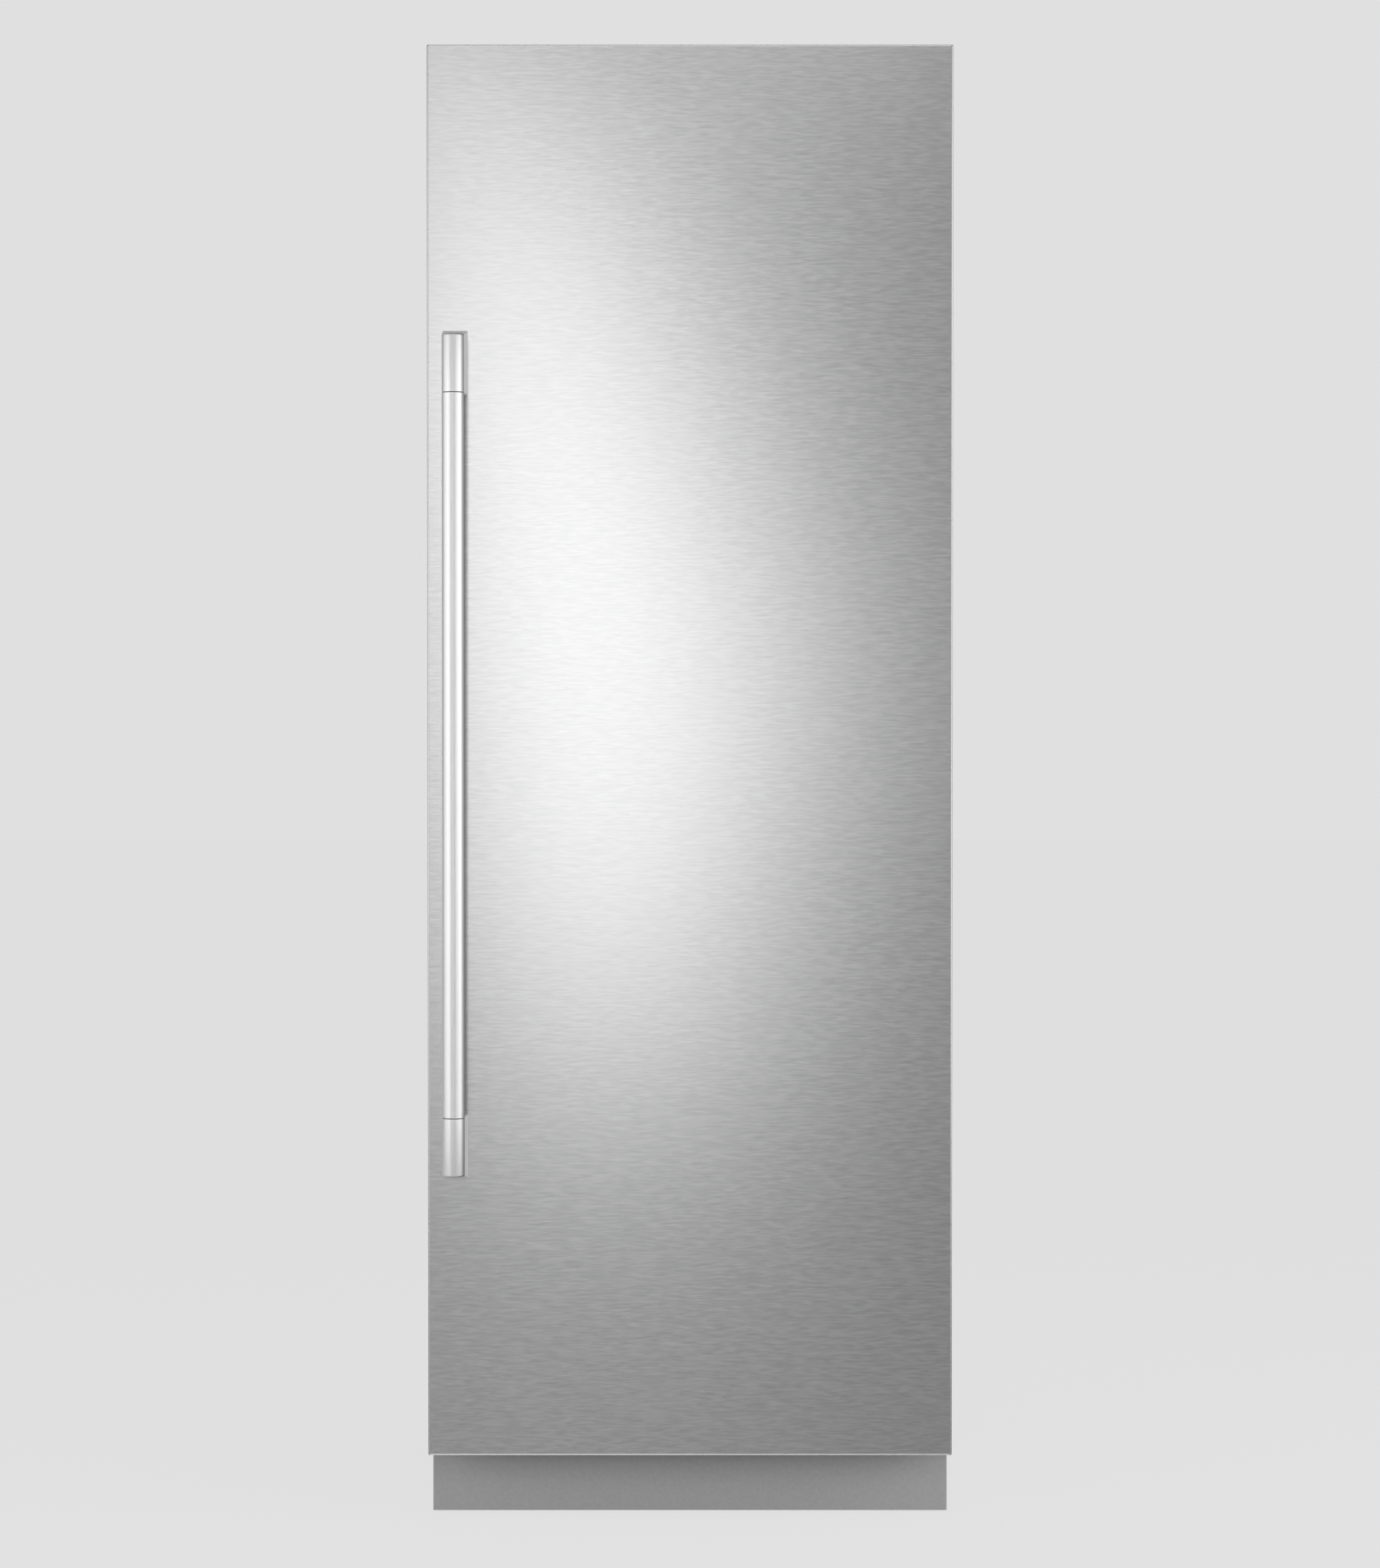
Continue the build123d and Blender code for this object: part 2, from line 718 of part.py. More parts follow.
def duct_cover():
    """A moulded tray over the cold air parts, with slots at each shelf and a round grille at the fan."""
    z_span = (hump_z + duct_margin, cavity_top_z - duct_margin)
    outer = block(both(duct_half), (duct_front_y, cavity_back_y), z_span)
    outer = soften(outer, Axis.Z, duct_corner)
    outer = outer - block(both(duct_half), (cavity_back_y, cavity_back_y + overrun), z_span)
    hollow = block(
        both(duct_half - duct_wall),
        (duct_front_y + duct_wall, cavity_back_y + overrun),
        (z_span[0] + duct_wall, z_span[1] - duct_wall),
    )
    hollow = fillet(hollow.edges().filter_by(Axis.Z).sort_by(Axis.Y)[:2], duct_corner - duct_wall)
    cover = outer - hollow
    slots = []
    for shelf_z in shelf_levels:
        slots = slots + slot_row(shelf_z + duct_slot_rise)
    slots = slots + slot_row(z_span[0] + duct_slot_rise)
    grille = []
    for rise in centred_places(grille_slot_count, duct_slot_pitch, 0):
        half = (air_fan_radius ** 2 - rise ** 2) ** (1 / 2)
        grille.append(Pos(0, air_fan_z + rise) * Rectangle(half * 2, duct_slot_height))
    seat = Plane(origin=(0, duct_front_y - overrun, 0), x_dir=(1, 0, 0), z_dir=(0, -1, 0))
    return cover - [extrude(seat * cut, amount=-(overrun + duct_wall * 2)) for cut in slots + grille]


def shelf_track(side):
    """An upright channel with a ladder of slots for the shelf hooks."""
    x = side * track_x
    z_span = (hump_z + track_margin, cavity_top_z - track_margin)
    front_y = cavity_back_y - track_depth
    outer = block((x - track_width / 2, x + track_width / 2), (front_y, cavity_back_y), z_span)
    hollow = block(
        (x - track_width / 2 + track_wall, x + track_width / 2 - track_wall),
        (front_y + track_wall, cavity_back_y + overrun),
        (z_span[0] - overrun, z_span[1] + overrun),
    )
    track = outer - hollow
    count = int((z_span[1] - z_span[0]) / track_pitch)
    places = [z_span[1] - (index + 1 / 2) * track_pitch for index in range(count)]
    seat = Plane(origin=(x, front_y - overrun, 0), x_dir=(1, 0, 0), z_dir=(0, -1, 0))
    slots = [seat * Pos(0, z) * Rectangle(track_slot_width, track_slot_height) for z in places]
    return track - [extrude(slot, amount=-(overrun + track_wall * 2)) for slot in slots]


# Shelves: glass in a moulded rim on two steel cantilever arms
shelf_level_shares = (0.21, 0.41, 0.61, 0.79)
crisper_cover_z = 762.0
shelf_side_gap = 13.0
shelf_front_setback = 112.0
shelf_glass = 4.0
shelf_rim_height = 14.0
shelf_rim_width = 9.0
shelf_ledge = 4.0
shelf_corner = 10.0
shelf_arm_wall = 4.0
shelf_arm_rear_height = 46.0
shelf_arm_front_height = 12.0
shelf_arm_end_margin = 30.0
shelf_hook_height = 9.0
duct_slot_rise = 60.0
shelf_half = cavity_half - shelf_side_gap
shelf_levels = [crisper_cover_z + (cavity_top_z - crisper_cover_z) * share for share in shelf_level_shares]
shelf_front_y = cabinet_y + shelf_front_setback
shelf_back_y = duct_front_y - seat_clearance


def shelf_rim(top_z):
    """A moulded rim with a ledge that the glass drops into."""
    outer = block(both(shelf_half), (shelf_front_y, shelf_back_y), (top_z - shelf_rim_height, top_z))
    outer = bevel(outer, Axis.Z, shelf_corner)
    pocket = glass_block(top_z, 0)
    window = block(
        both(shelf_half - shelf_rim_width - shelf_ledge),
        (shelf_front_y + shelf_rim_width + shelf_ledge, shelf_back_y - shelf_rim_width - shelf_ledge),
        (top_z - shelf_rim_height - overrun, top_z + overrun),
    )
    return outer - pocket - window


def glass_block(top_z, gap):
    """The shelf's glass, let into the rim with its top face flush."""
    half = shelf_half - shelf_rim_width - gap
    y_span = (shelf_front_y + shelf_rim_width + gap, shelf_back_y - shelf_rim_width - gap)
    glass = block(both(half), y_span, (top_z - shelf_glass, top_z))
    return bevel(glass, Axis.Z, shelf_glass)


def shelf_arms(top_z):
    """Two tapered arms under the rim, hooked into the tracks."""
    under_z = top_z - shelf_rim_height
    front_y = shelf_front_y + shelf_arm_end_margin
    rear_y = cavity_back_y - track_depth
    outline = Polyline(
        (front_y, under_z), (rear_y, under_z), (rear_y, under_z - shelf_arm_rear_height),
        (front_y, under_z - shelf_arm_front_height), close=True
    )
    arms = []
    for side in (-1, 1):
        seat = Plane(origin=(side * track_x, 0, 0), x_dir=(0, 1, 0), z_dir=(1, 0, 0))
        arm = extrude(seat * make_face(outline), amount=shelf_arm_wall / 2, both=True)
        for slot_z in track_hook_places(under_z):
            hook = block(
                (side * track_x - shelf_arm_wall / 2, side * track_x + shelf_arm_wall / 2),
                (rear_y, rear_y + track_wall + seat_clearance),
                (slot_z - shelf_hook_height / 2, slot_z + shelf_hook_height / 2),
            )
            arm = arm + hook
        arms.append(arm)
    return arms


def track_hook_places(under_z):
    """The middle of each track slot that lies behind an arm's rear edge."""
    top = cavity_top_z - track_margin
    steps = range(int(cavity_top_z / track_pitch))
    places = [top - (index + 1 / 2) * track_pitch for index in steps]
    low, high = under_z - shelf_arm_rear_height + shelf_hook_height / 2, under_z - shelf_hook_height / 2
    return [z for z in places if low < z < high]


def shelf_frame(top_z):
    rim = shelf_rim(top_z)
    for arm in shelf_arms(top_z):
        rim = rim + arm
    return rim


# Drawers under the crisper cover, their runners and the cover itself
drawer_side_gap = 23.0
drawer_front_gap = 15.0
drawer_setback = 90.0
drawer_wall = 3.0
drawer_front_wall = 9.0
drawer_corner = 12.0
drawer_floor_gap = 9.0
low_drawer_height = 176.0
drawer_height = 185.0
drawer_gap = 14.0
drawer_cover_gap = 2.0
drawer_rear_gap = 19.0
low_drawer_rear_gap = 7.0
drawer_ledge = 9.0
drawer_ledge_height = 6.0
drawer_ledge_drop = 26.0
drawer_grip_depth = 22.0
drawer_grip_share = 0.5
runner_wall = 3.0
runner_gap = 0.6
cover_skirt = 16.0
drawer_half = cavity_half - drawer_side_gap
drawer_front_half = cavity_half - drawer_front_gap
drawer_front_y = cabinet_y + drawer_setback
drawer_depth = duct_front_y - drawer_rear_gap - drawer_front_y
low_drawer_depth = hump_y - low_drawer_rear_gap - drawer_front_y
upper_drawer_z = crisper_cover_z - shelf_rim_height - drawer_cover_gap - drawer_height
middle_drawer_z = upper_drawer_z - drawer_gap - drawer_height
low_drawer_z = cavity_floor_z + drawer_floor_gap


def drawer_table():
    """Level, height and depth of each drawer, from the lowest."""
    return (
        (low_drawer_z, low_drawer_height, low_drawer_depth),
        (middle_drawer_z, drawer_height, drawer_depth),
        (upper_drawer_z, drawer_height, drawer_depth),
    )


def drawer(level, height, depth):
    """A clear open tray with side ledges, and a thicker front with a scooped grip."""
    y_span = (drawer_front_y, drawer_front_y + depth)
    body = block(both(drawer_half), y_span, (level, level + height))
    body = bevel(body, Axis.Z, drawer_corner)
    front = block(both(drawer_front_half), (y_span[0], y_span[0] + drawer_front_wall), (level, level + height))
    front = bevel(front, Axis.Y, drawer_front_wall / 2)
    ledge_z = level + height - drawer_ledge_drop
    ledges = block(
        both(drawer_half + drawer_ledge),
        (y_span[0] + drawer_front_wall, y_span[1] - drawer_corner),
        (ledge_z, ledge_z + drawer_ledge_height),
    )
    hollow = block(
        both(drawer_half - drawer_wall),
        (y_span[0] + drawer_front_wall, y_span[1] - drawer_wall),
        (level + drawer_wall, level + height + overrun),
    )
    hollow = bevel(hollow, Axis.Z, drawer_corner - drawer_wall)
    grip_half = drawer_half * drawer_grip_share
    grip = block(
        both(grip_half),
        (y_span[0] - overrun, y_span[0] + drawer_front_wall + overrun),
        (level + height - drawer_grip_depth, level + height + overrun),
    )
    grip = chamfer(grip.edges().filter_by(Axis.Y).sort_by(Axis.Z)[:2], drawer_grip_depth / 2)
    return body + front + ledges - hollow - grip


def drawer_runner(side, level, height, depth):
    """A channel on the liner that the drawer's side ledge slides in."""
    ledge_z = level + height - drawer_ledge_drop
    y_span = (drawer_front_y + drawer_front_wall + seat_clearance, drawer_front_y + depth)
    low = ledge_z - runner_gap - runner_wall
    high = ledge_z + drawer_ledge_height + runner_gap + runner_wall
    channel = block(sorted((side * (drawer_half + runner_gap), side * cavity_half)), y_span, (low, high))
    groove = block(
        sorted((side * (drawer_half - overrun), side * (drawer_half + drawer_ledge + runner_gap))),
        (y_span[0] - overrun, y_span[1] + overrun),
        (low + runner_wall, high - runner_wall),
    )
    return channel - groove


def cover_frame():
    """The rim over the drawers, with side skirts that sit on ribs of the liner."""
    y_span = (shelf_front_y, shelf_back_y)
    outer = block(both(cavity_half), y_span, (crisper_cover_z - shelf_rim_height, crisper_cover_z))
    pocket = cover_glass(0)
    window = block(
        both(cavity_half - cover_skirt - shelf_ledge),
        (y_span[0] + shelf_rim_width + shelf_ledge, y_span[1] - shelf_rim_width - shelf_ledge),
        (crisper_cover_z - shelf_rim_height - overrun, crisper_cover_z + overrun),
    )
    return outer - pocket - window


def cover_glass(gap):
    half = cavity_half - cover_skirt - gap
    y_span = (shelf_front_y + shelf_rim_width + gap, shelf_back_y - shelf_rim_width - gap)
    glass = block(both(half), y_span, (crisper_cover_z - shelf_glass, crisper_cover_z))
    return bevel(glass, Axis.Z, shelf_glass)


# Lights on the side walls and the control panel under the ceiling
light_width = 14.0
light_rise = 4.0
light_setback = 66.0
light_z_share = 0.94
control_side_gap = 41.0
control_depth = 62.0
control_height = 34.0
control_setback = 40.0
control_corner = 8.0
button_width = 26.0
button_height = 14.0
button_rise = 1.6
button_travel = 1.2
button_depth = 9.0
button_corner = 3.0
button_pitch = 40.0
button_count = 3
display_width = 84.0
display_height = 18.0
display_depth = 2.0
display_x = -110.0
control_half = cavity_half - control_side_gap
control_y = cabinet_y + control_setback
control_low_z = cavity_top_z - control_height
button_z = cavity_top_z - control_height / 2


def light_bar(side):
    """A frosted strip along one side wall."""
    z_span = (crisper_cover_z + light_width, cavity_top_z * light_z_share)
    y_span = (cabinet_y + light_setback, cabinet_y + light_setback + light_width)
    bar = block(sorted((side * (cavity_half - light_rise), side * cavity_half)), y_span, z_span)
    inner = sorted(bar.edges().filter_by(Axis.Z), key=lambda edge: abs(edge.center().X))[:2]
    return chamfer(inner, light_rise / 2)


def button_places():
    return centred_places(button_count, button_pitch, -display_x)


def button_block(middle_x, gap, y_span):
    """A bevelled key, or the pocket for it where the gap is more than 0."""
    half = button_width / 2 + gap
    rise = button_height / 2 + gap
    key = block((middle_x - half, middle_x + half), y_span, (button_z - rise, button_z + rise))
    return bevel(key, Axis.Y, button_corner + gap)


def display_block(gap, y_span):
    half = display_width / 2 + gap
    rise = display_height / 2 + gap
    return block((display_x - half, display_x + half), y_span, (button_z - rise, button_z + rise))


def control_housing():
    """A moulded housing along the ceiling, with pockets for the keys and the display."""
    box = block(both(control_half), (control_y, control_y + control_depth), (control_low_z, cavity_top_z))
    lower = box.edges().filter_by(Axis.X).sort_by(Axis.Z)[:2]
    box = fillet(lower, control_corner)
    for x in button_places():
        depth = button_depth + button_travel + seat_clearance
        box = box - button_block(x, seat_clearance, (control_y - overrun, control_y + depth))
    return box - display_block(0, (control_y - overrun, control_y + display_depth))


def button(middle_x):
    return button_block(middle_x, 0, (control_y - button_rise, control_y + button_depth))


# Door: folded steel panel, inner shell, foam, liner, gasket, hinge bushes
dike_side_gap = 13.0
dike_margin = 12.0
dike_rise = 24.0
dike_width = 30.0
dike_corner = 26.0
dike_rim = 8.0
pocket_depth = 16.0
pocket_corner = 14.0
door_liner_wall = 2.5
lug_rise = 22.0
lug_reach = 8.0
lug_depth = 26.0
gasket_base = 3.0
gasket_width = 18.0
gasket_lap = 24.0
gasket_bulb_inset = 2.5
dike_low_z = cavity_floor_z + dike_margin
dike_high_z = cavity_top_z - dike_margin
dike_half = cavity_half - dike_side_gap
pocket_half = dike_half - dike_width
pocket_low_z = dike_low_z + dike_width
pocket_high_z = dike_high_z - dike_width
pocket_y = inner_back_y - pocket_depth


def panel_form(growth):
    """The steel panel's rounded outline, or its bevelled inside where the growth is below 0."""
    form = block(
        both(door_half + growth),
        (panel_y - growth, inner_front_y + growth),
        (toe_space_height - growth, overall_height + growth),
    )
    form = bevel(form, Axis.Y, panel_bend_radius + growth)
    front_edges = form.faces().sort_by(Axis.Y)[0].edges()
    if growth < 0:
        return chamfer(front_edges, (panel_bend_radius + growth) / 2)
    return fillet(front_edges, panel_bend_radius)


def door_panel():
    """A brushed sheet folded back on all four sides, with a lip at the rear."""
    opening = block(
        both(door_half - panel_return),
        (inner_front_y - sheet - overrun, inner_front_y + overrun),
        (toe_space_height + panel_return, overall_height - panel_return),
    )
    return panel_form(0) - panel_form(-sheet) - opening


def door_core():
    """The stiff board that fills the folded panel."""
    filling = block(
        both(door_half - panel_return),
        (inner_front_y - sheet - overrun, inner_front_y),
        (toe_space_height + panel_return, overall_height - panel_return),
    )
    return panel_form(-sheet) + filling


def hinge_bush(top):
    """A bush in the door's end, a little proud of it and bored for the pin."""
    end_z, out = (inner_high_z, 1) if top else (inner_low_z, -1)
    start = (hinge_x, hinge_y, end_z + out * hinge_bush_rise)
    length = hinge_pin_depth + hinge_bush_rise
    return ring(start, (0, 0, -out), bush_radius, hinge_pin_radius + fit_clearance, length)


def bush_seats():
    """The holes that the bushes are pressed into."""
    return [
        rod((hinge_x, hinge_y, inner_low_z - overrun), (0, 0, 1), bush_radius, hinge_pin_depth + overrun),
        rod((hinge_x, hinge_y, inner_high_z - hinge_pin_depth), (0, 0, 1), bush_radius,
            hinge_pin_depth + overrun),
    ]


def inner_door_shell():
    """The painted pan that holds the door's foam."""
    outer = block(both(inner_half), (inner_front_y, inner_back_y), (inner_low_z, inner_high_z))
    hollow = block(
        both(inner_half - sheet),
        (inner_front_y + sheet, inner_back_y + overrun),
        (inner_low_z + sheet, inner_high_z - sheet),
    )
    return outer - hollow - bush_seats()


def door_filling(offset):
    """The foamed space of the door, drawn in from the liner's outer face by an offset."""
    form = block(
        both(inner_half - sheet),
        (inner_front_y + sheet, inner_back_y - offset),
        (inner_low_z + sheet, inner_high_z - sheet),
    )
    dike = block(
        both(dike_half - offset),
        (inner_front_y + sheet, inner_back_y + dike_rise - offset),
        (dike_low_z + offset, dike_high_z - offset),
    )
    dike = soften(dike, Axis.Y, dike_corner - offset)
    dike = chamfer(dike.faces().sort_by(Axis.Y)[-1].edges(), dike_rim)
    pocket = block(
        both(pocket_half + offset),
        (pocket_y - offset, inner_back_y + dike_rise + overrun),
        (pocket_low_z - offset, pocket_high_z + offset),
    )
    pocket = bevel(pocket, Axis.Y, pocket_corner + offset)
    return form + dike - pocket


def door_liner():
    """A thin formed sheet with a raised border and lugs that carry the bins."""
    liner = door_filling(0) - door_filling(door_liner_wall)
    for level, height, depth in bin_table():
        for side in (-1, 1):
            lug_top = level + height * bin_ear_share
            lug = block(
                sorted((side * (pocket_half - lug_reach), side * (pocket_half + door_liner_wall / 2))),
                (pocket_y - door_liner_wall / 2, pocket_y + lug_depth),
                (lug_top - lug_rise, lug_top),
            )
            liner = liner + lug
    return liner


def door_foam():
    """The door's foam, parted where the liner steps: a slab, a flat rim and the bars of the raised border."""
    form = door_filling(door_liner_wall) - bush_seats()
    half = dike_half - door_liner_wall
    inner = pocket_half + door_liner_wall
    low_z, high_z = dike_low_z + door_liner_wall, dike_high_z - door_liner_wall
    depth = (pocket_y - door_liner_wall, cabinet_y + dike_rise)
    regions = [(both(door_half), (panel_y, depth[0]), (0, overall_height))]
    for side in (-1, 1):
        regions.append((sorted((side * half, side * door_half)), depth, (0, overall_height)))
        regions.append((sorted((side * inner, side * half)), depth, (low_z, high_z)))
    for outer_z, rim_z, bar_z in (
        (0, low_z, pocket_low_z - door_liner_wall),
        (overall_height, high_z, pocket_high_z + door_liner_wall),
    ):
        regions.append((both(half), depth, sorted((outer_z, rim_z))))
        regions.append((both(inner), depth, sorted((rim_z, bar_z))))
    return [form & block(*region) for region in regions]


def gasket():
    """A magnetic seal: a flat base on the door with a softer bulb that meets the case."""
    def frame(outset, y_span):
        outer_half = cavity_half + gasket_lap - outset
        inner = cavity_half + gasket_lap - gasket_width + outset
        low, high = cavity_floor_z - gasket_lap + outset, cavity_top_z + gasket_lap - outset
        shrink = gasket_width - outset * 2
        band = block(both(outer_half), y_span, (low, high))
        hole = block(both(inner), (y_span[0] - overrun, y_span[1] + overrun), (low + shrink, high - shrink))
        return band - hole

    base = frame(0, (inner_back_y, inner_back_y + gasket_base))
    bulb = frame(gasket_bulb_inset, (inner_back_y + gasket_base, cabinet_y - seat_clearance))
    return base + bulb


# Handle: a steel tube between two cast posts that stand on the panel
handle_x = handle_edge_distance - door_half
handle_high_z = handle_middle_z + handle_length / 2
handle_low_z = handle_middle_z - handle_length / 2


def handle_tube():
    end_length = handle_post_length + handle_collar_length
    start = (handle_x, handle_y, handle_low_z + end_length)
    length = handle_high_z - handle_low_z - end_length * 2
    return ring(start, (0, 0, 1), handle_radius, handle_radius - handle_wall, length)


def handle_post(end):
    """A casting: a round end that continues the tube after a narrow joint, and a flared stem to the door."""
    end_z = handle_high_z if end > 0 else handle_low_z
    inner_z = end_z - end * handle_post_length
    nose = rod((handle_x, handle_y, inner_z), (0, 0, end), handle_radius, handle_post_length)
    outer_edge = nose.edges().filter_by(GeomType.CIRCLE).sort_by(Axis.Z)[-1 if end > 0 else 0]
    nose = chamfer(outer_edge, handle_end_bevel)
    shoulder = rod((handle_x, handle_y, inner_z), (0, 0, -end), handle_radius - handle_collar_step,
                   handle_collar_length)
    spigot_length = handle_collar_length + handle_spigot_length
    spigot = rod((handle_x, handle_y, inner_z), (0, 0, -end), handle_radius - handle_wall - seat_clearance,
                 spigot_length)
    stem_middle = (inner_z + end_z - end * handle_end_bevel) / 2
    stem_height = handle_post_length - handle_end_bevel
    base_height = handle_post_length + handle_post_flare
    base_middle = inner_z + end * base_height / 2
    sections = []
    for y, z, width, height in (
        (handle_y, stem_middle, handle_diameter, stem_height),
        (panel_y, base_middle, handle_base_width, base_height),
    ):
        seat = Plane(origin=(handle_x, y, z), x_dir=(1, 0, 0), z_dir=(0, -1, 0))
        sections.append(seat * Rectangle(width, height))
    stem = loft(sections, ruled=True)
    return nose + shoulder + spigot + stem


# Door bins and the dairy compartment
bin_wall = 2.5
bin_corner = 18.0
bin_depth = 96.0
low_bin_depth = 74.0
bin_height = 92.0
bin_level_shares = (0.36, 0.515, 0.67)
low_bin_share = 0.08
bin_ear_share = 0.5
bin_ear_height = 8.0
bin_lip = 4.0
dairy_headroom = 31.0
dairy_height = 170.0
dairy_depth = 88.0
dairy_lid_wall = 3.0
dairy_knuckle = 5.0
dairy_pin_radius = 2.5
dairy_pin_length = 5.0
dairy_gap = 1.0
dairy_end_wall = 8.0
bin_half = pocket_half - lug_reach - dairy_gap
bin_back_y = pocket_y + seat_clearance
dairy_level = pocket_high_z - dairy_headroom - dairy_height


def bin_level(share):
    """A tray's floor at a share of the height of the door's pocket."""
    return pocket_low_z + (pocket_high_z - pocket_low_z) * share


def bin_table():
    """Level, height and depth of each tray, with the dairy compartment last."""
    low = (bin_level(low_bin_share), bin_height, low_bin_depth)
    trays = [(bin_level(share), bin_height, bin_depth) for share in bin_level_shares]
    return [low] + trays + [(dairy_level, dairy_height, dairy_depth)]


def bin_ears(level, height):
    """The ears at both ends, which rest on the liner's lugs."""
    low = level + height * bin_ear_share
    reach = pocket_half - seat_clearance
    y_span = (bin_back_y, pocket_y + lug_depth)
    return [
        block(sorted((side * (bin_half - bin_wall / 2), side * reach)), y_span, (low, low + bin_ear_height))
        for side in (-1, 1)
    ]


def door_bin(level, height, depth):
    """A clear tray with rounded front corners and a turned lip along its top."""
    y_span = (bin_back_y, bin_back_y + depth)
    outer = block(both(bin_half), y_span, (level, level + height))
    outer = fillet(outer.edges().filter_by(Axis.Z).sort_by(Axis.Y)[-2:], bin_corner)
    hollow = block(
        both(bin_half - bin_wall),
        (y_span[0] + bin_wall, y_span[1] - bin_wall),
        (level + bin_wall, level + height + overrun),
    )
    hollow = fillet(hollow.edges().filter_by(Axis.Z).sort_by(Axis.Y)[-2:], bin_corner - bin_wall)
    lip = block(both(bin_half - bin_corner), (y_span[1] - bin_wall, y_span[1] + bin_lip),
                (level + height - bin_lip, level + height))
    tray = outer - hollow + lip
    for ear in bin_ears(level, height):
        tray = tray + ear
    return tray


dairy_lid_y = bin_back_y + dairy_depth - dairy_knuckle - dairy_gap
dairy_lid_z = dairy_level + dairy_height - dairy_knuckle - dairy_gap


def dairy_box():
    """A box open towards the shelves, whose end walls carry the lid's pins."""
    y_span = (bin_back_y, bin_back_y + dairy_depth)
    z_span = (dairy_level, dairy_level + dairy_height)
    outer = block(both(bin_half), y_span, z_span)
    hollow = block(
        both(bin_half - dairy_end_wall),
        (y_span[0] + bin_wall, y_span[1] + overrun),
        (z_span[0] + bin_wall, z_span[1] - bin_wall),
    )
    relief = block(
        both(bin_half - dairy_end_wall),
        (dairy_lid_y - dairy_knuckle - dairy_gap, y_span[1] + overrun),
        (z_span[1] - bin_wall - overrun, z_span[1] + overrun),
    )
    box = outer - hollow - relief
    bore_half = bin_half - dairy_end_wall + dairy_pin_length
    box = box - rod((-bore_half, dairy_lid_y, dairy_lid_z), (1, 0, 0), dairy_pin_radius + fit_clearance,
                    bore_half * 2)
    for ear in bin_ears(dairy_level, dairy_height):
        box = box + ear
    return box


def dairy_lid():
    """A flap that hangs from two pins and lifts towards the shelves."""
    half = bin_half - dairy_end_wall - dairy_gap
    knuckle = rod((-half, dairy_lid_y, dairy_lid_z), (1, 0, 0), dairy_knuckle, half * 2)
    face_y = bin_back_y + dairy_depth - dairy_gap
    flap = block(both(half), (face_y - dairy_lid_wall, face_y), (dairy_level + bin_wall + dairy_gap, dairy_lid_z))
    grip = block(
        both(half * drawer_grip_share), (face_y - dairy_lid_wall, face_y + bin_lip),
        (dairy_level + bin_wall + dairy_gap, dairy_level + bin_wall + dairy_gap + bin_lip),
    )
    pin_half = half + dairy_gap + dairy_pin_length - seat_clearance
    pins = rod((-pin_half, dairy_lid_y, dairy_lid_z), (1, 0, 0), dairy_pin_radius, pin_half * 2)
    return knuckle + flap + grip + pins


# Hinge brackets and their pins
def bracket_outline(reach_y):
    """A plate with a round nose about the pin, wider towards the cabinet's middle."""
    left = hinge_x - hinge_plate_width
    right = hinge_x + hinge_nose_radius
    nose = Pos(hinge_x, hinge_y) * Circle(hinge_nose_radius)
    tail = make_face(
        Polyline(
            (hinge_x, hinge_y - hinge_nose_radius), (right, hinge_y), (right, reach_y), (left, reach_y),
            (left, cabinet_y - hinge_plate), close=True
        )
    )
    return nose + tail


def top_bracket():
    outline = bracket_outline(cabinet_y + hinge_plate_reach)
    plate = extrude(Plane.XY.offset(case_top_z) * outline, amount=hinge_plate)
    return plate - rod((hinge_x, hinge_y, case_top_z - overrun), (0, 0, 1), hinge_pin_radius,
                       hinge_plate + overrun * 2)


bottom_plate_z = inner_low_z - hinge_bush_rise - seat_clearance - hinge_plate


def bottom_bracket():
    """An angle: a plate under the door and a leg against the front of the case."""
    leg_y = cabinet_y - hinge_plate
    plate = extrude(Plane.XY.offset(bottom_plate_z) * bracket_outline(cabinet_y), amount=hinge_plate)
    leg = block(
        (hinge_x - hinge_plate_width, hinge_x + hinge_nose_radius),
        (leg_y, cabinet_y),
        (bottom_plate_z + hinge_plate - hinge_leg_height, bottom_plate_z + hinge_plate),
    )
    bore_start = (hinge_x, hinge_y, bottom_plate_z - overrun)
    bore = rod(bore_start, (0, 0, 1), hinge_pin_radius, hinge_plate + overrun * 2)
    return plate + leg - bore


def hinge_pins():
    """The upper pin hangs into the door and the lower one stands up into it."""
    reach = hinge_pin_depth - seat_clearance
    top = rod((hinge_x, hinge_y, case_top_z + hinge_plate), (0, 0, -1), hinge_pin_radius,
              hinge_plate + hinge_headroom + reach)
    bottom = rod((hinge_x, hinge_y, bottom_plate_z), (0, 0, 1), hinge_pin_radius,
                 inner_low_z - bottom_plate_z + reach)
    return top, bottom


# Electronics on top of the cabinet, and the anti-tip angles at its rear corners
box_half = 110.0
box_depth = 160.0
box_height = 24.0
box_wall = 2.0
box_setback = 60.0
box_corner = 8.0
box_vent_count = 9
box_vent_pitch = 16.0
box_vent_width = 5.0
box_vent_length_share = 0.5
angle_length = 90.0
angle_leg = 24.0
angle_plate = 3.0
angle_inset = 70.0
angle_hole_pitch = 50.0
angle_hole_radius = 3.5


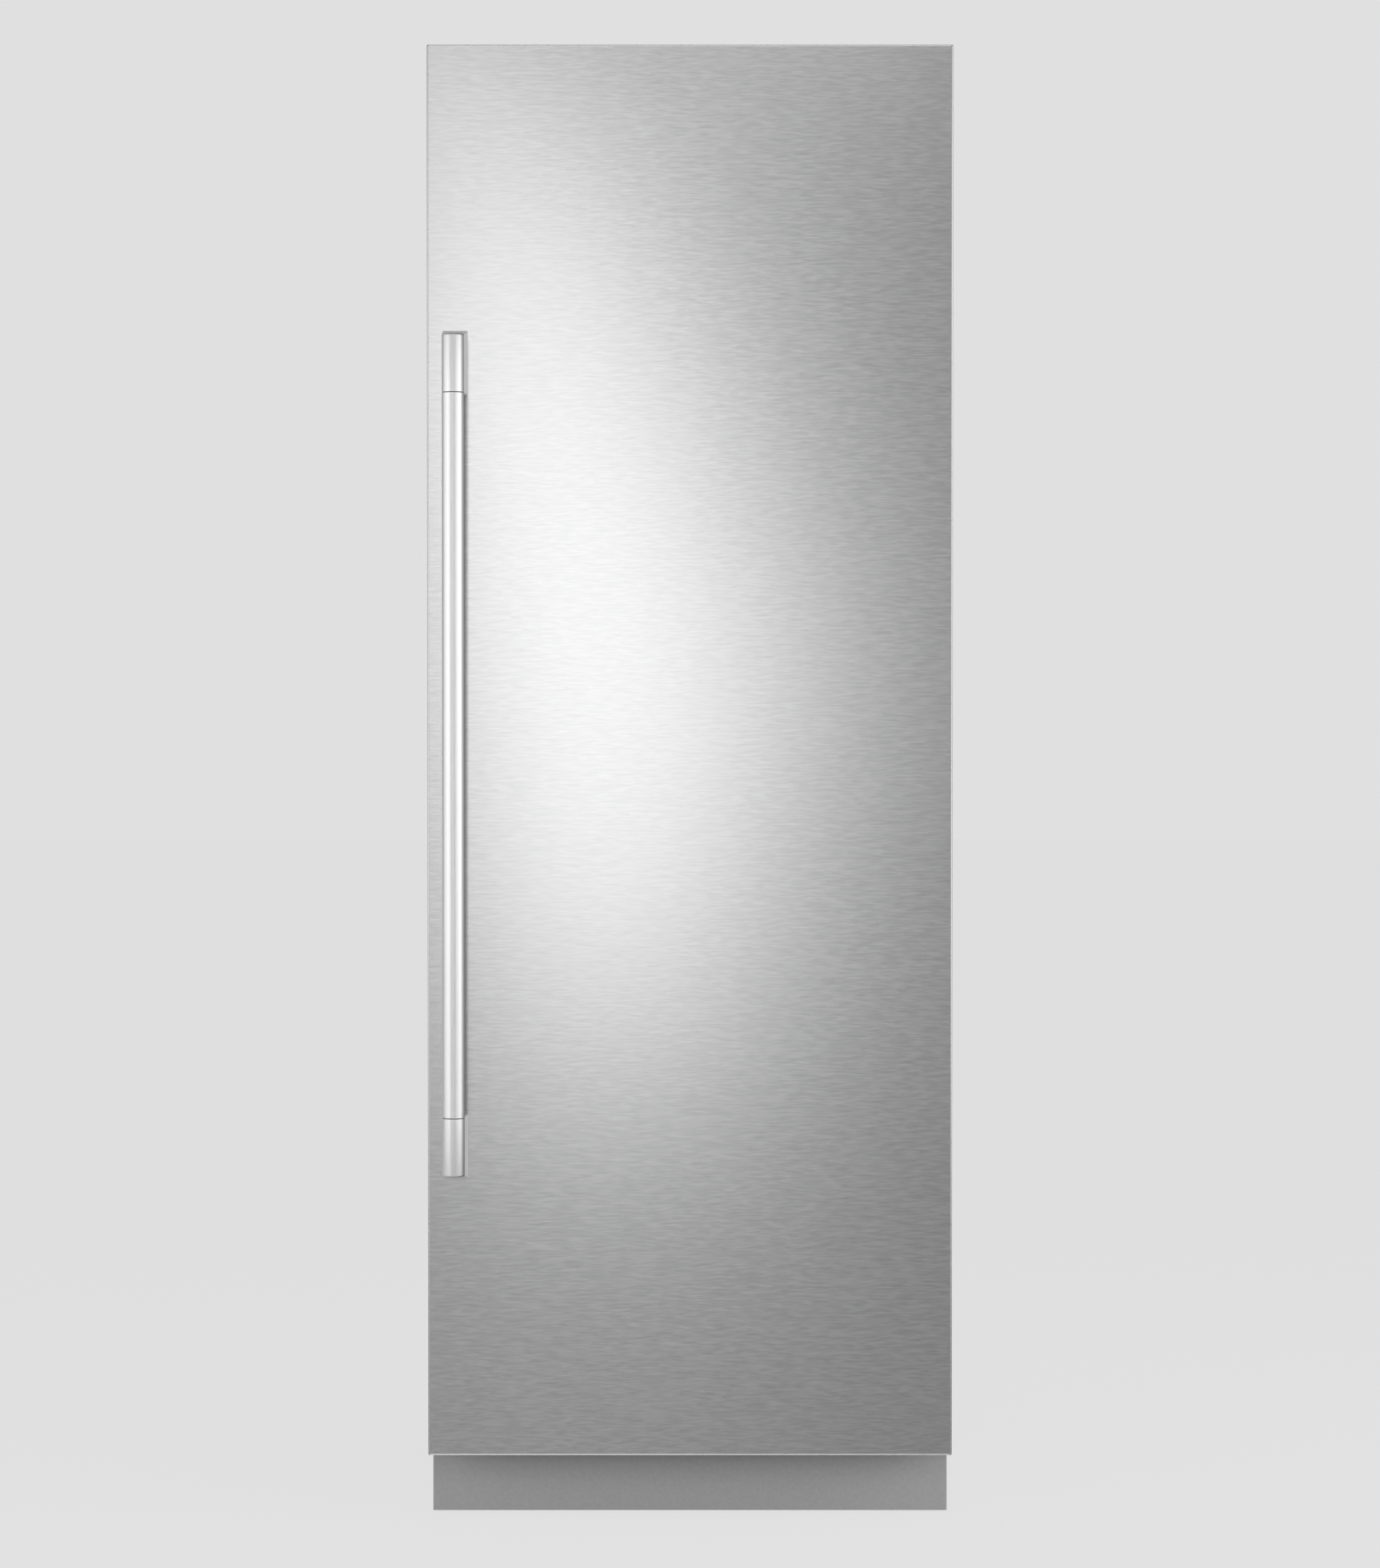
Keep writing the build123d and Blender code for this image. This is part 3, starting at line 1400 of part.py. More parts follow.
def electronics_box():
    """A cover over the control board on top of the cabinet, vented along its length."""
    y_span = (back_y - box_setback - box_depth, back_y - box_setback)
    outer = block(both(box_half), y_span, (case_top_z, case_top_z + box_height))
    outer = bevel(outer, Axis.Z, box_corner)
    hollow = block(
        both(box_half - box_wall),
        (y_span[0] + box_wall, y_span[1] - box_wall),
        (case_top_z - overrun, case_top_z + box_height - box_wall),
    )
    hollow = bevel(hollow, Axis.Z, box_corner - box_wall)
    middle_y = (y_span[0] + y_span[1]) / 2
    vents = [
        block(
            (x - box_vent_width / 2, x + box_vent_width / 2),
            (middle_y - box_depth * box_vent_length_share / 2, middle_y + box_depth * box_vent_length_share / 2),
            (case_top_z + box_height - box_wall * 2, case_top_z + box_height + overrun),
        )
        for x in centred_places(box_vent_count, box_vent_pitch, 0)
    ]
    return outer - hollow - vents


def control_board():
    """The circuit board in that box, on its four pillars."""
    y_span = (back_y - box_setback - box_depth + box_corner * 2, back_y - box_setback - box_corner * 2)
    half = box_half - box_corner * 2
    board_z = case_top_z + box_height / 3
    board = block(both(half), y_span, (board_z, board_z + box_wall))
    reach = half - box_corner
    pillars = [
        block((x - box_wall, x + box_wall), (y - box_wall, y + box_wall), (case_top_z, board_z))
        for x in both(reach)
        for y in (y_span[0] + box_corner, y_span[1] - box_corner)
    ]
    return board + pillars


def anti_tip_angle(side):
    """An angle on the cabinet's top rear edge, with holes for wall screws."""
    x = side * (case_half - angle_inset - angle_length / 2)
    x_span = (x - angle_length / 2, x + angle_length / 2)
    flat = block(x_span, (back_y - angle_leg, back_y), (case_top_z, case_top_z + angle_plate))
    upright = block(x_span, (back_y - angle_plate, back_y), (case_top_z, case_top_z + angle_leg))
    bores = [
        rod((place, back_y - angle_plate - overrun, anti_tip_hole_z()), (0, 1, 0), angle_hole_radius,
            angle_plate + overrun * 2)
        for place in centred_places(2, angle_hole_pitch, x)
    ]
    return flat + upright - bores


def anti_tip_hole_z():
    return case_top_z + angle_plate + (angle_leg - angle_plate) / 2


# Writing each piece: the cabinet and what is fixed to it
def write_cabinet():
    sides = (-1, 1)
    write("case_wrap", *case_panels())
    write("case_back", case_back())
    write("base_deck", base_deck())
    write("cabinet_foam", cabinet_foam())
    write("cavity_liner", cavity_liner())
    write("base_rails", *[base_rail(side) for side in sides])
    write("levelling_legs", *[levelling_leg(side) for side in sides])
    write("roller_axles", *[roller_axle(side) for side in sides])
    write("toe_kick", toe_kick())
    for name, side in (("left", -1), ("right", 1)):
        write(f"roller_{name}", roller(side))
    write("anti_tip_angles", *[anti_tip_angle(side) for side in sides])
    write("electronics_cover", electronics_box())
    write("control_board", control_board())


def write_machine_bay():
    write("compressor_tray", compressor_tray())
    write("compressor", compressor())
    write("compressor_grommets", *grommets())
    write("condenser_coil", condenser())
    write("drain_pan", drain_pan())
    write("condenser_shroud", condenser_shroud())
    write("condenser_fan", condenser_fan())
    write("refrigerant_pipes", *refrigerant_pipes())
    write("machine_cover", machine_cover())
    write("power_gland", power_gland())


def write_interior():
    sides = (-1, 1)
    write("evaporator_coil", evaporator())
    write("air_fan_motor", air_fan_motor())
    write("air_fan", air_fan())
    write("duct_cover", duct_cover())
    write("shelf_tracks", *[shelf_track(side) for side in sides])
    write("shelf_frames", cover_frame(), *[shelf_frame(level) for level in shelf_levels])
    panes = [glass_block(level, seat_clearance) for level in shelf_levels]
    write("shelf_glass", cover_glass(seat_clearance), *panes)
    write("drawer_runners", *[drawer_runner(side, *tray) for tray in drawer_table() for side in sides])
    for name, tray in zip(("lower", "middle", "upper"), drawer_table()):
        write(f"drawer_{name}", drawer(*tray))
    write("light_bars", *[light_bar(side) for side in sides])
    write("control_housing", control_housing())
    write("display_window", display_block(-seat_clearance, (control_y, control_y + display_depth)))
    for name, x in zip(("power", "cooler", "warmer"), button_places()):
        write(f"button_{name}", button(x))


def write_door():
    ends = (-1, 1)
    write("door_panel", door_panel())
    write("door_core", door_core())
    write("inner_door_shell", inner_door_shell())
    write("door_foam", *door_foam())
    write("door_liner", door_liner())
    write("door_gasket", gasket())
    write("hinge_bushes", hinge_bush(True), hinge_bush(False))
    write("handle_tube", handle_tube())
    write("handle_posts", *[handle_post(end) for end in ends])
    low_tray, *upper_trays = bin_table()[:-1]
    write("door_bin_low", door_bin(*low_tray))
    write("door_bins_upper", *[door_bin(*tray) for tray in upper_trays])
    write("dairy_box", dairy_box())
    write("dairy_lid", dairy_lid())


def write_hinges():
    write("hinge_bracket_top", top_bracket())
    write("hinge_bracket_bottom", bottom_bracket())
    write("hinge_pins", *hinge_pins())


write_cabinet()
write_machine_bay()
write_interior()
write_door()
write_hinges()
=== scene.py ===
import json
import math

import bmesh
import bpy
from mathutils import Matrix, Vector

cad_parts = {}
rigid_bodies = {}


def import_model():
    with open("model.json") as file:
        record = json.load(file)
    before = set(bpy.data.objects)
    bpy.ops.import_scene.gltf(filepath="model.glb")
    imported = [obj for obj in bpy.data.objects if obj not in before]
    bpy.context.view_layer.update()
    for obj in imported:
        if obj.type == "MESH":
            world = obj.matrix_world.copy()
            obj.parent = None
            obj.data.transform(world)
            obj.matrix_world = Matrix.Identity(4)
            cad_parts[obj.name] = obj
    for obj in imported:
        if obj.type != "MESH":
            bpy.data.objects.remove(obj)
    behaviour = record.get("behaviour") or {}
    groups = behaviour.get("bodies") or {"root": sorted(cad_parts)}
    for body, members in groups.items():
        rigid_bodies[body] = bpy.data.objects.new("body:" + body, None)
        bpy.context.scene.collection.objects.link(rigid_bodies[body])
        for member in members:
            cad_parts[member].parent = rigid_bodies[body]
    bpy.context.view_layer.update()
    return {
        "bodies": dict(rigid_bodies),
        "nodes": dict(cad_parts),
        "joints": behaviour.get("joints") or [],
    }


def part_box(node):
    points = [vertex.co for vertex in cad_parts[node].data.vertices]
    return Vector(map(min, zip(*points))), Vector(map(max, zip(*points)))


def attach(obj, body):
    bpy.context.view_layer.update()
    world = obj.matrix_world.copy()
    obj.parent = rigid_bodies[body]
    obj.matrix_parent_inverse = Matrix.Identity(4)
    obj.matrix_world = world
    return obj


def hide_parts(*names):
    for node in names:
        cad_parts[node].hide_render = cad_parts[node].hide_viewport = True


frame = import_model()


# Door front: one sheet of brushed stainless steel, folded back on all four sides over a stiff board.
# It is bonded to the foamed door behind. The brush lines run across it, so light spreads up and down.
panel_low, panel_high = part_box("door_panel")
panel_bend = 0.0025
panel_bend_steps = 5
brush_length = 0.019
brush_height = 0.0021
brush_grain = (brush_length, brush_length, brush_height)
steel_dull = (0.226, 0.226, 0.227)
steel_bright = (0.27, 0.27, 0.271)
fold_flat = 0.9992
# Painted shade: the share of its colour that the fold keeps down the two sides of the door.
fold_side_painted_shade = 0.45
weld_distance = 0.00001
flat_angle = math.radians(1)
smooth_angle = math.radians(35)
grain_detail = 3.0
grain_span = (0.3, 0.7)
body_names = {empty.name: name for name, empty in frame["bodies"].items()}


def body_with(node):
    """The name of the body that a CAD node belongs to."""
    return body_names[frame["nodes"][node].parent.name]


def three(value):
    """A plain number three times over, or three values as they are."""
    return (value, value, value) if isinstance(value, float) else value


def ranged(nodes, before, after):
    """A node that maps one range of values onto another."""
    node = nodes.new("ShaderNodeMapRange")
    for label, value in zip(("From Min", "From Max", "To Min", "To Max"), (*before, *after)):
        node.inputs[label].default_value = value
    return node


def grained(name, dull, bright, roughness, grain, relief=0.0, metal=0.0):
    """A finish whose colour, gloss and relief follow one grain.

    A colour is three values or one grey, and the grain is its size along X, Y and Z or in all directions.
    """
    finish = bpy.data.materials.new(name)
    finish.use_nodes = True
    nodes, links = finish.node_tree.nodes, finish.node_tree.links
    shader = nodes["Principled BSDF"]
    shader.inputs["Metallic"].default_value = metal
    place = nodes.new("ShaderNodeTexCoord")
    stretch = nodes.new("ShaderNodeMapping")
    stretch.inputs["Scale"].default_value = [1 / size for size in three(grain)]
    pattern = nodes.new("ShaderNodeTexNoise")
    pattern.inputs["Scale"].default_value = 1.0
    pattern.inputs["Detail"].default_value = grain_detail
    tone = nodes.new("ShaderNodeValToRGB")
    for stop, position, colour in zip(tone.color_ramp.elements, grain_span, (dull, bright)):
        stop.position = position
        stop.color = (*three(colour), 1)
    gloss = ranged(nodes, grain_span, roughness)
    links.new(place.outputs["Object"], stretch.inputs["Vector"])
    links.new(stretch.outputs["Vector"], pattern.inputs["Vector"])
    links.new(pattern.outputs[0], tone.inputs["Fac"])
    links.new(pattern.outputs[0], gloss.inputs["Value"])
    links.new(tone.outputs["Color"], shader.inputs["Base Color"])
    links.new(gloss.outputs["Result"], shader.inputs["Roughness"])
    if relief:
        bump = nodes.new("ShaderNodeBump")
        bump.inputs["Distance"].default_value = relief
        links.new(pattern.outputs[0], bump.inputs["Height"])
        links.new(bump.outputs["Normal"], shader.inputs["Normal"])
    return finish


def tune(finish, **values):
    """Sets plain values on a finish's shader, with _ for the spaces in a socket's name."""
    for socket, value in values.items():
        finish.node_tree.nodes["Principled BSDF"].inputs[socket.replace("_", " ")].default_value = value


def smoothed(piece):
    """Shades a piece smoothly, apart from its real edges."""
    piece.data.shade_smooth()
    piece.data.set_sharp_from_angle(angle=smooth_angle)
    return piece


def placed(name, data):
    """A new object in the scene."""
    piece = bpy.data.objects.new(name, data)
    bpy.context.scene.collection.objects.link(piece)
    return piece


def made(name, build):
    """A new piece from a function that fills an empty mesh."""
    shape = bmesh.new()
    build(shape)
    mesh = bpy.data.meshes.new(name)
    bmesh.ops.recalc_face_normals(shape, faces=shape.faces)
    shape.to_mesh(mesh)
    shape.free()
    return smoothed(placed(name, mesh))


def round_edges(piece, radius, steps=2):
    """Rounds every real edge of a piece."""
    rounding = piece.modifiers.new("rounded_edges", "BEVEL")
    rounding.width = radius
    rounding.segments = steps
    rounding.limit_method = "ANGLE"
    rounding.angle_limit = smooth_angle
    rounding.harden_normals = True
    return piece


def fit(piece, finish, body, *nodes):
    """Gives a piece its finish, hangs it on its body and takes out the CAD nodes that it stands for."""
    piece.data.materials.clear()
    piece.data.materials.append(finish)
    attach(piece, body)
    if nodes:
        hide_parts(*nodes)


def slab(shape, low, high):
    """Adds a box between two corners."""
    middle = (Vector(low) + Vector(high)) / 2
    size = Vector(high) - Vector(low)
    bmesh.ops.create_cube(shape, size=1.0, matrix=Matrix.Translation(middle) @ Matrix.Diagonal((*size, 1)))


def welded_copy(node, name):
    """A copy of a CAD node's mesh with its triangles joined into whole faces."""
    mesh = frame["nodes"][node].data.copy()
    mesh.name = name
    shape = bmesh.new()
    shape.from_mesh(mesh)
    bmesh.ops.remove_doubles(shape, verts=shape.verts, dist=weld_distance)
    bmesh.ops.dissolve_limit(shape, angle_limit=flat_angle, verts=shape.verts, edges=shape.edges)
    shape.to_mesh(mesh)
    shape.free()
    return smoothed(placed(name, mesh))


def dressed(node, name, finish, edge=0):
    """The shown piece for a CAD node: its own form with rounded edges, in a finish."""
    piece = welded_copy(node, name)
    if edge:
        round_edges(piece, edge)
    fit(piece, finish, body_with(node), node)


brushed_steel = grained("brushed_steel", steel_dull, steel_bright, (0.215, 0.235), brush_grain, metal=1.0)
tune(brushed_steel, Anisotropic=0.4)


def up_the_sheet(piece):
    """Lays the piece's own map so that its first direction runs up, square to the brush lines."""
    mesh = piece.data
    layer = mesh.uv_layers.new(name="up_the_sheet")
    for face in mesh.polygons:
        across = 0 if abs(face.normal.x) < abs(face.normal.y) + abs(face.normal.z) else 1
        for loop in face.loop_indices:
            spot = mesh.vertices[mesh.loops[loop].vertex_index].co
            rise = spot.y if abs(face.normal.z) > abs(face.normal.y) + abs(face.normal.x) else spot.z
            layer.data[loop].uv = (rise, spot[across])


grain_way = brushed_steel.node_tree.nodes.new("ShaderNodeTangent")
grain_way.direction_type = "UV_MAP"
grain_way.uv_map = "up_the_sheet"
brushed_steel.node_tree.links.new(
    grain_way.outputs["Tangent"], brushed_steel.node_tree.nodes["Principled BSDF"].inputs["Tangent"]
)
door_sheet = made("door_sheet", lambda shape: slab(shape, panel_low, panel_high))
up_the_sheet(door_sheet)
round_edges(door_sheet, panel_bend, panel_bend_steps)
fit(door_sheet, brushed_steel, "door", "door_panel", "door_core")


def fold_with_painted_shade():
    """The polished fold, with painted shade that darkens it down the two sides against the top and bottom.
    """
    finish = grained("fold_steel_painted_shade", 0.56, 0.64, (0.26, 0.32), 0.004, metal=1.0)
    nodes, links = finish.node_tree.nodes, finish.node_tree.links
    shader = nodes["Principled BSDF"]
    tone = shader.inputs["Base Color"].links[0].from_socket
    place = nodes.new("ShaderNodeTexCoord")
    axes = nodes.new("ShaderNodeSeparateXYZ")
    outward = nodes.new("ShaderNodeMath")
    outward.operation = "ABSOLUTE"
    outer_x = panel_high.x - panel_bend
    share = ranged(nodes, (outer_x * fold_flat, outer_x), (1.0, fold_side_painted_shade))
    scaled = nodes.new("ShaderNodeVectorMath")
    scaled.operation = "SCALE"
    links.new(place.outputs["Object"], axes.inputs[0])
    links.new(axes.outputs["X"], outward.inputs[0])
    links.new(outward.outputs[0], share.inputs["Value"])
    links.new(tone, scaled.inputs[0])
    links.new(share.outputs["Result"], scaled.inputs["Scale"])
    links.new(scaled.outputs[0], shader.inputs["Base Color"])
    return finish


door_sheet.data.materials.append(fold_with_painted_shade())
door_sheet.modifiers["rounded_edges"].material = 1


# Handle: a satin stainless tube between two cast ends, with a faint joint line at each.
# The ends carry on the tube's line and flare back to a flat foot on the door.
handle_low, handle_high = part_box("handle_posts")
tube_low, tube_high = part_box("handle_tube")
tube_middle = (tube_low + tube_high) / 2
tube_radius = (tube_high.x - tube_low.x) / 2
tube_sides = 96
tube_grain = (0.0009, 0.0009, 0.03)
handle_axis = Vector((tube_middle.x, tube_middle.y, 0))
post_height = 0.083
post_flare = 0.009
post_foot_half = (handle_high.x - handle_low.x) / 2
post_edge = 0.0012
end_edge = 0.0005
end_round = 0.0025
end_round_steps = 5
joint_gap = 0.0006
joint_depth = 0.0003
joint_radius = tube_radius - joint_depth


def turned(shape, profile, sides, centre, axis=Vector((0, 0, 1)), facing=Vector((1, 0, 0))):
    """Adds a solid of revolution from points of radius and place along the axis."""
    side = axis.cross(facing)
    rings = []
    for radius, along in profile:
        turns = [2 * math.pi * step / sides for step in range(sides if radius > 0 else 1)]
        rings.append([
            shape.verts.new(centre + axis * along + (facing * math.cos(t) + side * math.sin(t)) * radius)
            for t in turns
        ])
    for lower, upper in zip(rings, rings[1:]):
        for step in range(sides):
            after = (step + 1) % sides
            if len(lower) == 1:
                shape.faces.new((lower[0], upper[after], upper[step]))
            elif len(upper) == 1:
                shape.faces.new((lower[step], lower[after], upper[0]))
            else:
                shape.faces.new((lower[step], lower[after], upper[after], upper[step]))


def quarter_round(radius, height, size, steps, upward):
    """Points of a rounded rim, from the side to the flat end."""
    points = []
    for step in range(steps + 1):
        turn = math.pi / 2 * step / steps
        points.append((radius - size + size * math.cos(turn), height + upward * size * (math.sin(turn) - 1)))
    return points


satin_steel = grained(
    "satin_steel", (0.395, 0.395, 0.396), (0.45, 0.45, 0.451), (0.38, 0.42), tube_grain, metal=1.0
)
# Painted highlight: the stems of the cast ends get a brighter copy of the handle's steel, standing in for
# light on them.
stem_painted_highlight = grained("stem_painted_highlight", 0.76, 0.84, (0.56, 0.64), 0.0012, metal=1.0)
joint_shadow = grained("joint_shadow", 0.3, 0.36, (0.45, 0.55), 0.01, metal=1.0)
tube_profile = [(0, tube_low.z), (tube_radius, tube_low.z), (tube_radius, tube_high.z), (0, tube_high.z)]
handle_bar = made("handle_bar", lambda shape: turned(shape, tube_profile, tube_sides, handle_axis))
fit(handle_bar, satin_steel, "door", "handle_tube")


def cast_end(shape, end):
    """Adds one cast end of the handle: a round nose and a stem that flares towards the door."""
    outer_z = handle_nose_high if end > 0 else handle_nose_low
    inner_z = outer_z - end * post_height
    rim = quarter_round(tube_radius, outer_z, end_round, end_round_steps, end)
    turned(shape, [(0, inner_z), (tube_radius, inner_z), *rim, (0, outer_z)], tube_sides, handle_axis)
    foot_z = inner_z + end * (post_height + post_flare)
    corners = []
    for y, half, far in (
        (tube_middle.y, tube_radius - post_edge, outer_z - end * end_round),
        (panel_low.y, post_foot_half, foot_z),
    ):
        corners.append([
            shape.verts.new((tube_middle.x + side * half, y, z))
            for side, z in ((-1, inner_z), (1, inner_z), (1, far), (-1, far))
        ])
    front, back = corners
    for step in range(4):
        after = (step + 1) % 4
        shape.faces.new((front[step], front[after], back[after], back[step]))
    shape.faces.new(front)
    shape.faces.new(list(reversed(back)))


handle_nose_high = handle_high.z - post_flare
handle_nose_low = handle_low.z + post_flare
handle_ends = made("handle_ends", lambda shape: [cast_end(shape, end) for end in (-1, 1)])
round_edges(handle_ends, end_edge)
fit(handle_ends, satin_steel, "door", "handle_posts")
# The stems behind the tube take the painted highlight, and the noses keep the satin steel.
handle_ends.data.materials.append(stem_painted_highlight)
for face in handle_ends.data.polygons:
    face.material_index = int(face.center.y > tube_middle.y + tube_radius)


def joint_ring(shape, low):
    """Adds the thin ring between the tube and one cast end."""
    high = low + joint_gap
    turned(shape, [(0, low), (joint_radius, low), (joint_radius, high), (0, high)], tube_sides, handle_axis)


joint_starts = (tube_low.z - joint_gap, tube_high.z)
handle_joints = made("handle_joints", lambda shape: [joint_ring(shape, low) for low in joint_starts])
fit(handle_joints, joint_shadow, "door")


# Toe kick: a shallow folded steel plate in matt grey paint, screwed to the front of the case under the door.
# It closes the space around the front levelling legs.
toe_edge = 0.0008
toe_grey = grained("toe_grey", 0.29, 0.32, (0.62, 0.75), 0.004, relief=0.00003)
tune(toe_grey, Specular_IOR_Level=0.3)
dressed("toe_kick", "toe_plate", toe_grey, toe_edge)


# Case: prepainted sheet folded round the sides and top, with a plain zinc-coated back and base.
# The foam inside is poured between it and the liner.
paint_edge = 0.0005
case_paint = grained(
    "case_paint", (0.42, 0.43, 0.435), (0.47, 0.475, 0.48), (0.38, 0.48), 0.0035, relief=0.00002
)
zinc_sheet = grained(
    "zinc_sheet", (0.53, 0.54, 0.55), (0.63, 0.64, 0.65), (0.36, 0.46), 0.02, relief=0.00001, metal=1.0
)
foam_cream = grained("foam_cream", (0.72, 0.62, 0.38), (0.82, 0.73, 0.5), (0.8, 0.9), 0.003, relief=0.0003)
dressed("case_wrap", "case_sheet", case_paint, paint_edge)
dressed("case_back", "back_sheet", zinc_sheet)
dressed("base_deck", "base_sheet", zinc_sheet)
dressed("cabinet_foam", "cabinet_foam_fill", foam_cream)
dressed("base_rails", "base_channels", zinc_sheet)


# Inner door: a painted steel pan and a white formed liner with foam between them.
# The liner's raised border carries the bins, and the magnetic gasket is pushed in around it.
liner_edge = 0.0012
liner_white = grained("liner_white", 0.84, 0.86, (0.29, 0.33), 0.003, relief=0.000004)
gasket_grey = grained(
    "gasket_grey", (0.38, 0.38, 0.39), (0.45, 0.45, 0.46), (0.55, 0.7), 0.004, relief=0.00002
)
dressed("inner_door_shell", "door_pan", case_paint, paint_edge)
dressed("door_foam", "door_foam_fill", foam_cream)
dressed("door_liner", "door_liner_sheet", liner_white, liner_edge)
dressed("door_gasket", "door_seal", gasket_grey, edge=0.001)


# Cavity: one white formed liner, stepped at the bottom rear over the machine bay.
# Its ribs and walls are part of the sheet, and the foam behind keeps them stiff.
dressed("cavity_liner", "cavity_sheet", liner_white, liner_edge)


# Hinges: zinc-plated steel brackets at the top and bottom right, each with a ground pin in a bronze bush.
# Flanged hexagon screws hold the top one to the case and the bottom one to its front.
hinge_edge = 0.0008
pin_sides = 40
pin_round = 0.0012
pin_round_steps = 3
pin_reach = 0.0257
lower_pin_extra = 0.0023
screw_across = 0.0048
screw_head = 0.0042
screw_flange = 0.0072
screw_flange_rise = 0.0012
screw_flange_sides = 28
screw_corner_share = 0.84
screw_corner_rise = 0.85
hexagon = 6
top_row_shares = (0.52, 0.7, 0.88)
top_screw_xs = (0.03, 0.056)
lower_screw_xs = (0.014, 0.034, 0.054)
lower_screw_inset = 0.006
lower_screw_rise = 0.0075
zinc_plate = grained("zinc_plate", (0.6, 0.6, 0.585), (0.67, 0.67, 0.65), (0.27, 0.34), 0.006, metal=1.0)
bronze = grained(
    "bronze", (0.42, 0.28, 0.13), (0.55, 0.38, 0.19), (0.35, 0.5), 0.0015, relief=0.00001, metal=1.0
)
dressed("hinge_bracket_top", "upper_hinge_plate", zinc_plate, hinge_edge)
dressed("hinge_bracket_bottom", "lower_hinge_angle", zinc_plate, hinge_edge)
dressed("hinge_bushes", "hinge_bush_pair", bronze, edge=0.0004)
pin_low, pin_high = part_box("hinge_pins")
upper_plate_low, upper_plate_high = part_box("hinge_bracket_top")
lower_plate_low, lower_plate_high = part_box("hinge_bracket_bottom")
pin_radius = (pin_high.x - pin_low.x) / 2


def hinge_pin(shape, low, high):
    """Adds an upright pin with rounded ends."""
    centre = Vector(((pin_low.x + pin_high.x) / 2, (pin_low.y + pin_high.y) / 2, 0))
    under = quarter_round(pin_radius, low, pin_round, pin_round_steps, -1)
    over = quarter_round(pin_radius, high, pin_round, pin_round_steps, 1)
    turned(shape, [(0, low), *reversed(under), *over, (0, high)], pin_sides, centre)


def hinge_pin_pair(shape):
    """Adds the upper pin, which hangs from its plate, and the lower one."""
    hinge_pin(shape, pin_high.z - (upper_plate_high.z - upper_plate_low.z) - pin_reach, pin_high.z)
    hinge_pin(shape, pin_low.z, pin_low.z + (pin_reach + lower_pin_extra))


fit(made("hinge_pin_pair", hinge_pin_pair), zinc_plate, "cabinet", "hinge_pins")


def new_tree(name, *inputs):
    """A geometry tree with named inputs, and its first and last node."""
    tree = bpy.data.node_groups.new(name, "GeometryNodeTree")
    for label, kind in (("Geometry", "Geometry"), *inputs):
        tree.interface.new_socket(label, in_out="INPUT", socket_type="NodeSocket" + kind)
    tree.interface.new_socket("Geometry", in_out="OUTPUT", socket_type="NodeSocketGeometry")
    return tree, tree.nodes.new("NodeGroupInput"), tree.nodes.new("NodeGroupOutput")


def realised(tree, start, end, made_of):
    """Ends a tree: real geometry in its finish."""
    real = tree.nodes.new("GeometryNodeRealizeInstances")
    dress = tree.nodes.new("GeometryNodeSetMaterial")
    tree.links.new(made_of, real.inputs[0])
    tree.links.new(real.outputs[0], dress.inputs["Geometry"])
    tree.links.new(start.outputs["Finish"], dress.inputs["Material"])
    tree.links.new(dress.outputs[0], end.inputs["Geometry"])


def grown(name, source, tree, finish, body, values, nodes=()):
    """Runs a geometry tree on a source piece once and keeps its result as a plain mesh on a body."""
    modifier = source.modifiers.new("grown", "NODES")
    modifier.node_group = tree
    sockets = {item.name: item.identifier for item in tree.interface.items_tree if item.in_out == "INPUT"}
    for label, value in {**values, "Finish": finish}.items():
        modifier[sockets[label]] = value
    mesh = bpy.data.meshes.new_from_object(source.evaluated_get(bpy.context.evaluated_depsgraph_get()))
    source.modifiers.remove(modifier)
    bpy.data.objects.remove(source)
    mesh.name = name
    fit(smoothed(placed(name, mesh)), finish, body, *nodes)


def spots(name, places):
    """Loose points, each with the way that it faces."""
    mesh = bpy.data.meshes.new(name)
    mesh.from_pydata([place for place, way in places], [], [])
    facing = mesh.attributes.new("facing", "FLOAT_VECTOR", "POINT")
    for point, (place, way) in zip(facing.data, places):
        point.vector = way
    return placed(name, mesh)


screw_tree, screw_start, screw_end = new_tree(
    "screws_on_spots", ("Head", "Object"), ("Size", "Float"), ("Finish", "Material")
)
head_info = screw_tree.nodes.new("GeometryNodeObjectInfo")
facing_way = screw_tree.nodes.new("GeometryNodeInputNamedAttribute")
facing_way.data_type = "FLOAT_VECTOR"
facing_way.inputs["Name"].default_value = "facing"
facing_turn = screw_tree.nodes.new("FunctionNodeAlignRotationToVector")
on_spots = screw_tree.nodes.new("GeometryNodeInstanceOnPoints")
screw_tree.links.new(screw_start.outputs["Head"], head_info.inputs["Object"])
screw_tree.links.new(facing_way.outputs["Attribute"], facing_turn.inputs["Vector"])
screw_tree.links.new(screw_start.outputs["Geometry"], on_spots.inputs["Points"])
screw_tree.links.new(head_info.outputs["Geometry"], on_spots.inputs["Instance"])
screw_tree.links.new(facing_turn.outputs["Rotation"], on_spots.inputs["Rotation"])
screw_tree.links.new(screw_start.outputs["Size"], on_spots.inputs["Scale"])
realised(screw_tree, screw_start, screw_end, on_spots.outputs["Instances"])


def screw_form(shape):
    """A hexagon head with a broken corner on a round flange."""
    middle = screw_flange_rise / 2
    turned(shape, [
        (0, 0), (screw_flange, 0), (screw_flange, middle),
        (screw_across, screw_flange_rise), (0, screw_flange_rise),
    ], screw_flange_sides, Vector())
    turned(shape, [
        (0, middle), (screw_across, middle), (screw_across, screw_head * screw_corner_rise),
        (screw_across * screw_corner_share, screw_head), (0, screw_head),
    ], hexagon, Vector())


def screws(name, places):
    """Screw heads on the case, one for each place and the way that it faces."""
    head = made(name + "_head", screw_form)
    source = spots(name + "_spots", places)
    grown(name, source, screw_tree, zinc_plate, "cabinet", {"Head": head, "Size": 1.0})
    bpy.data.objects.remove(head)


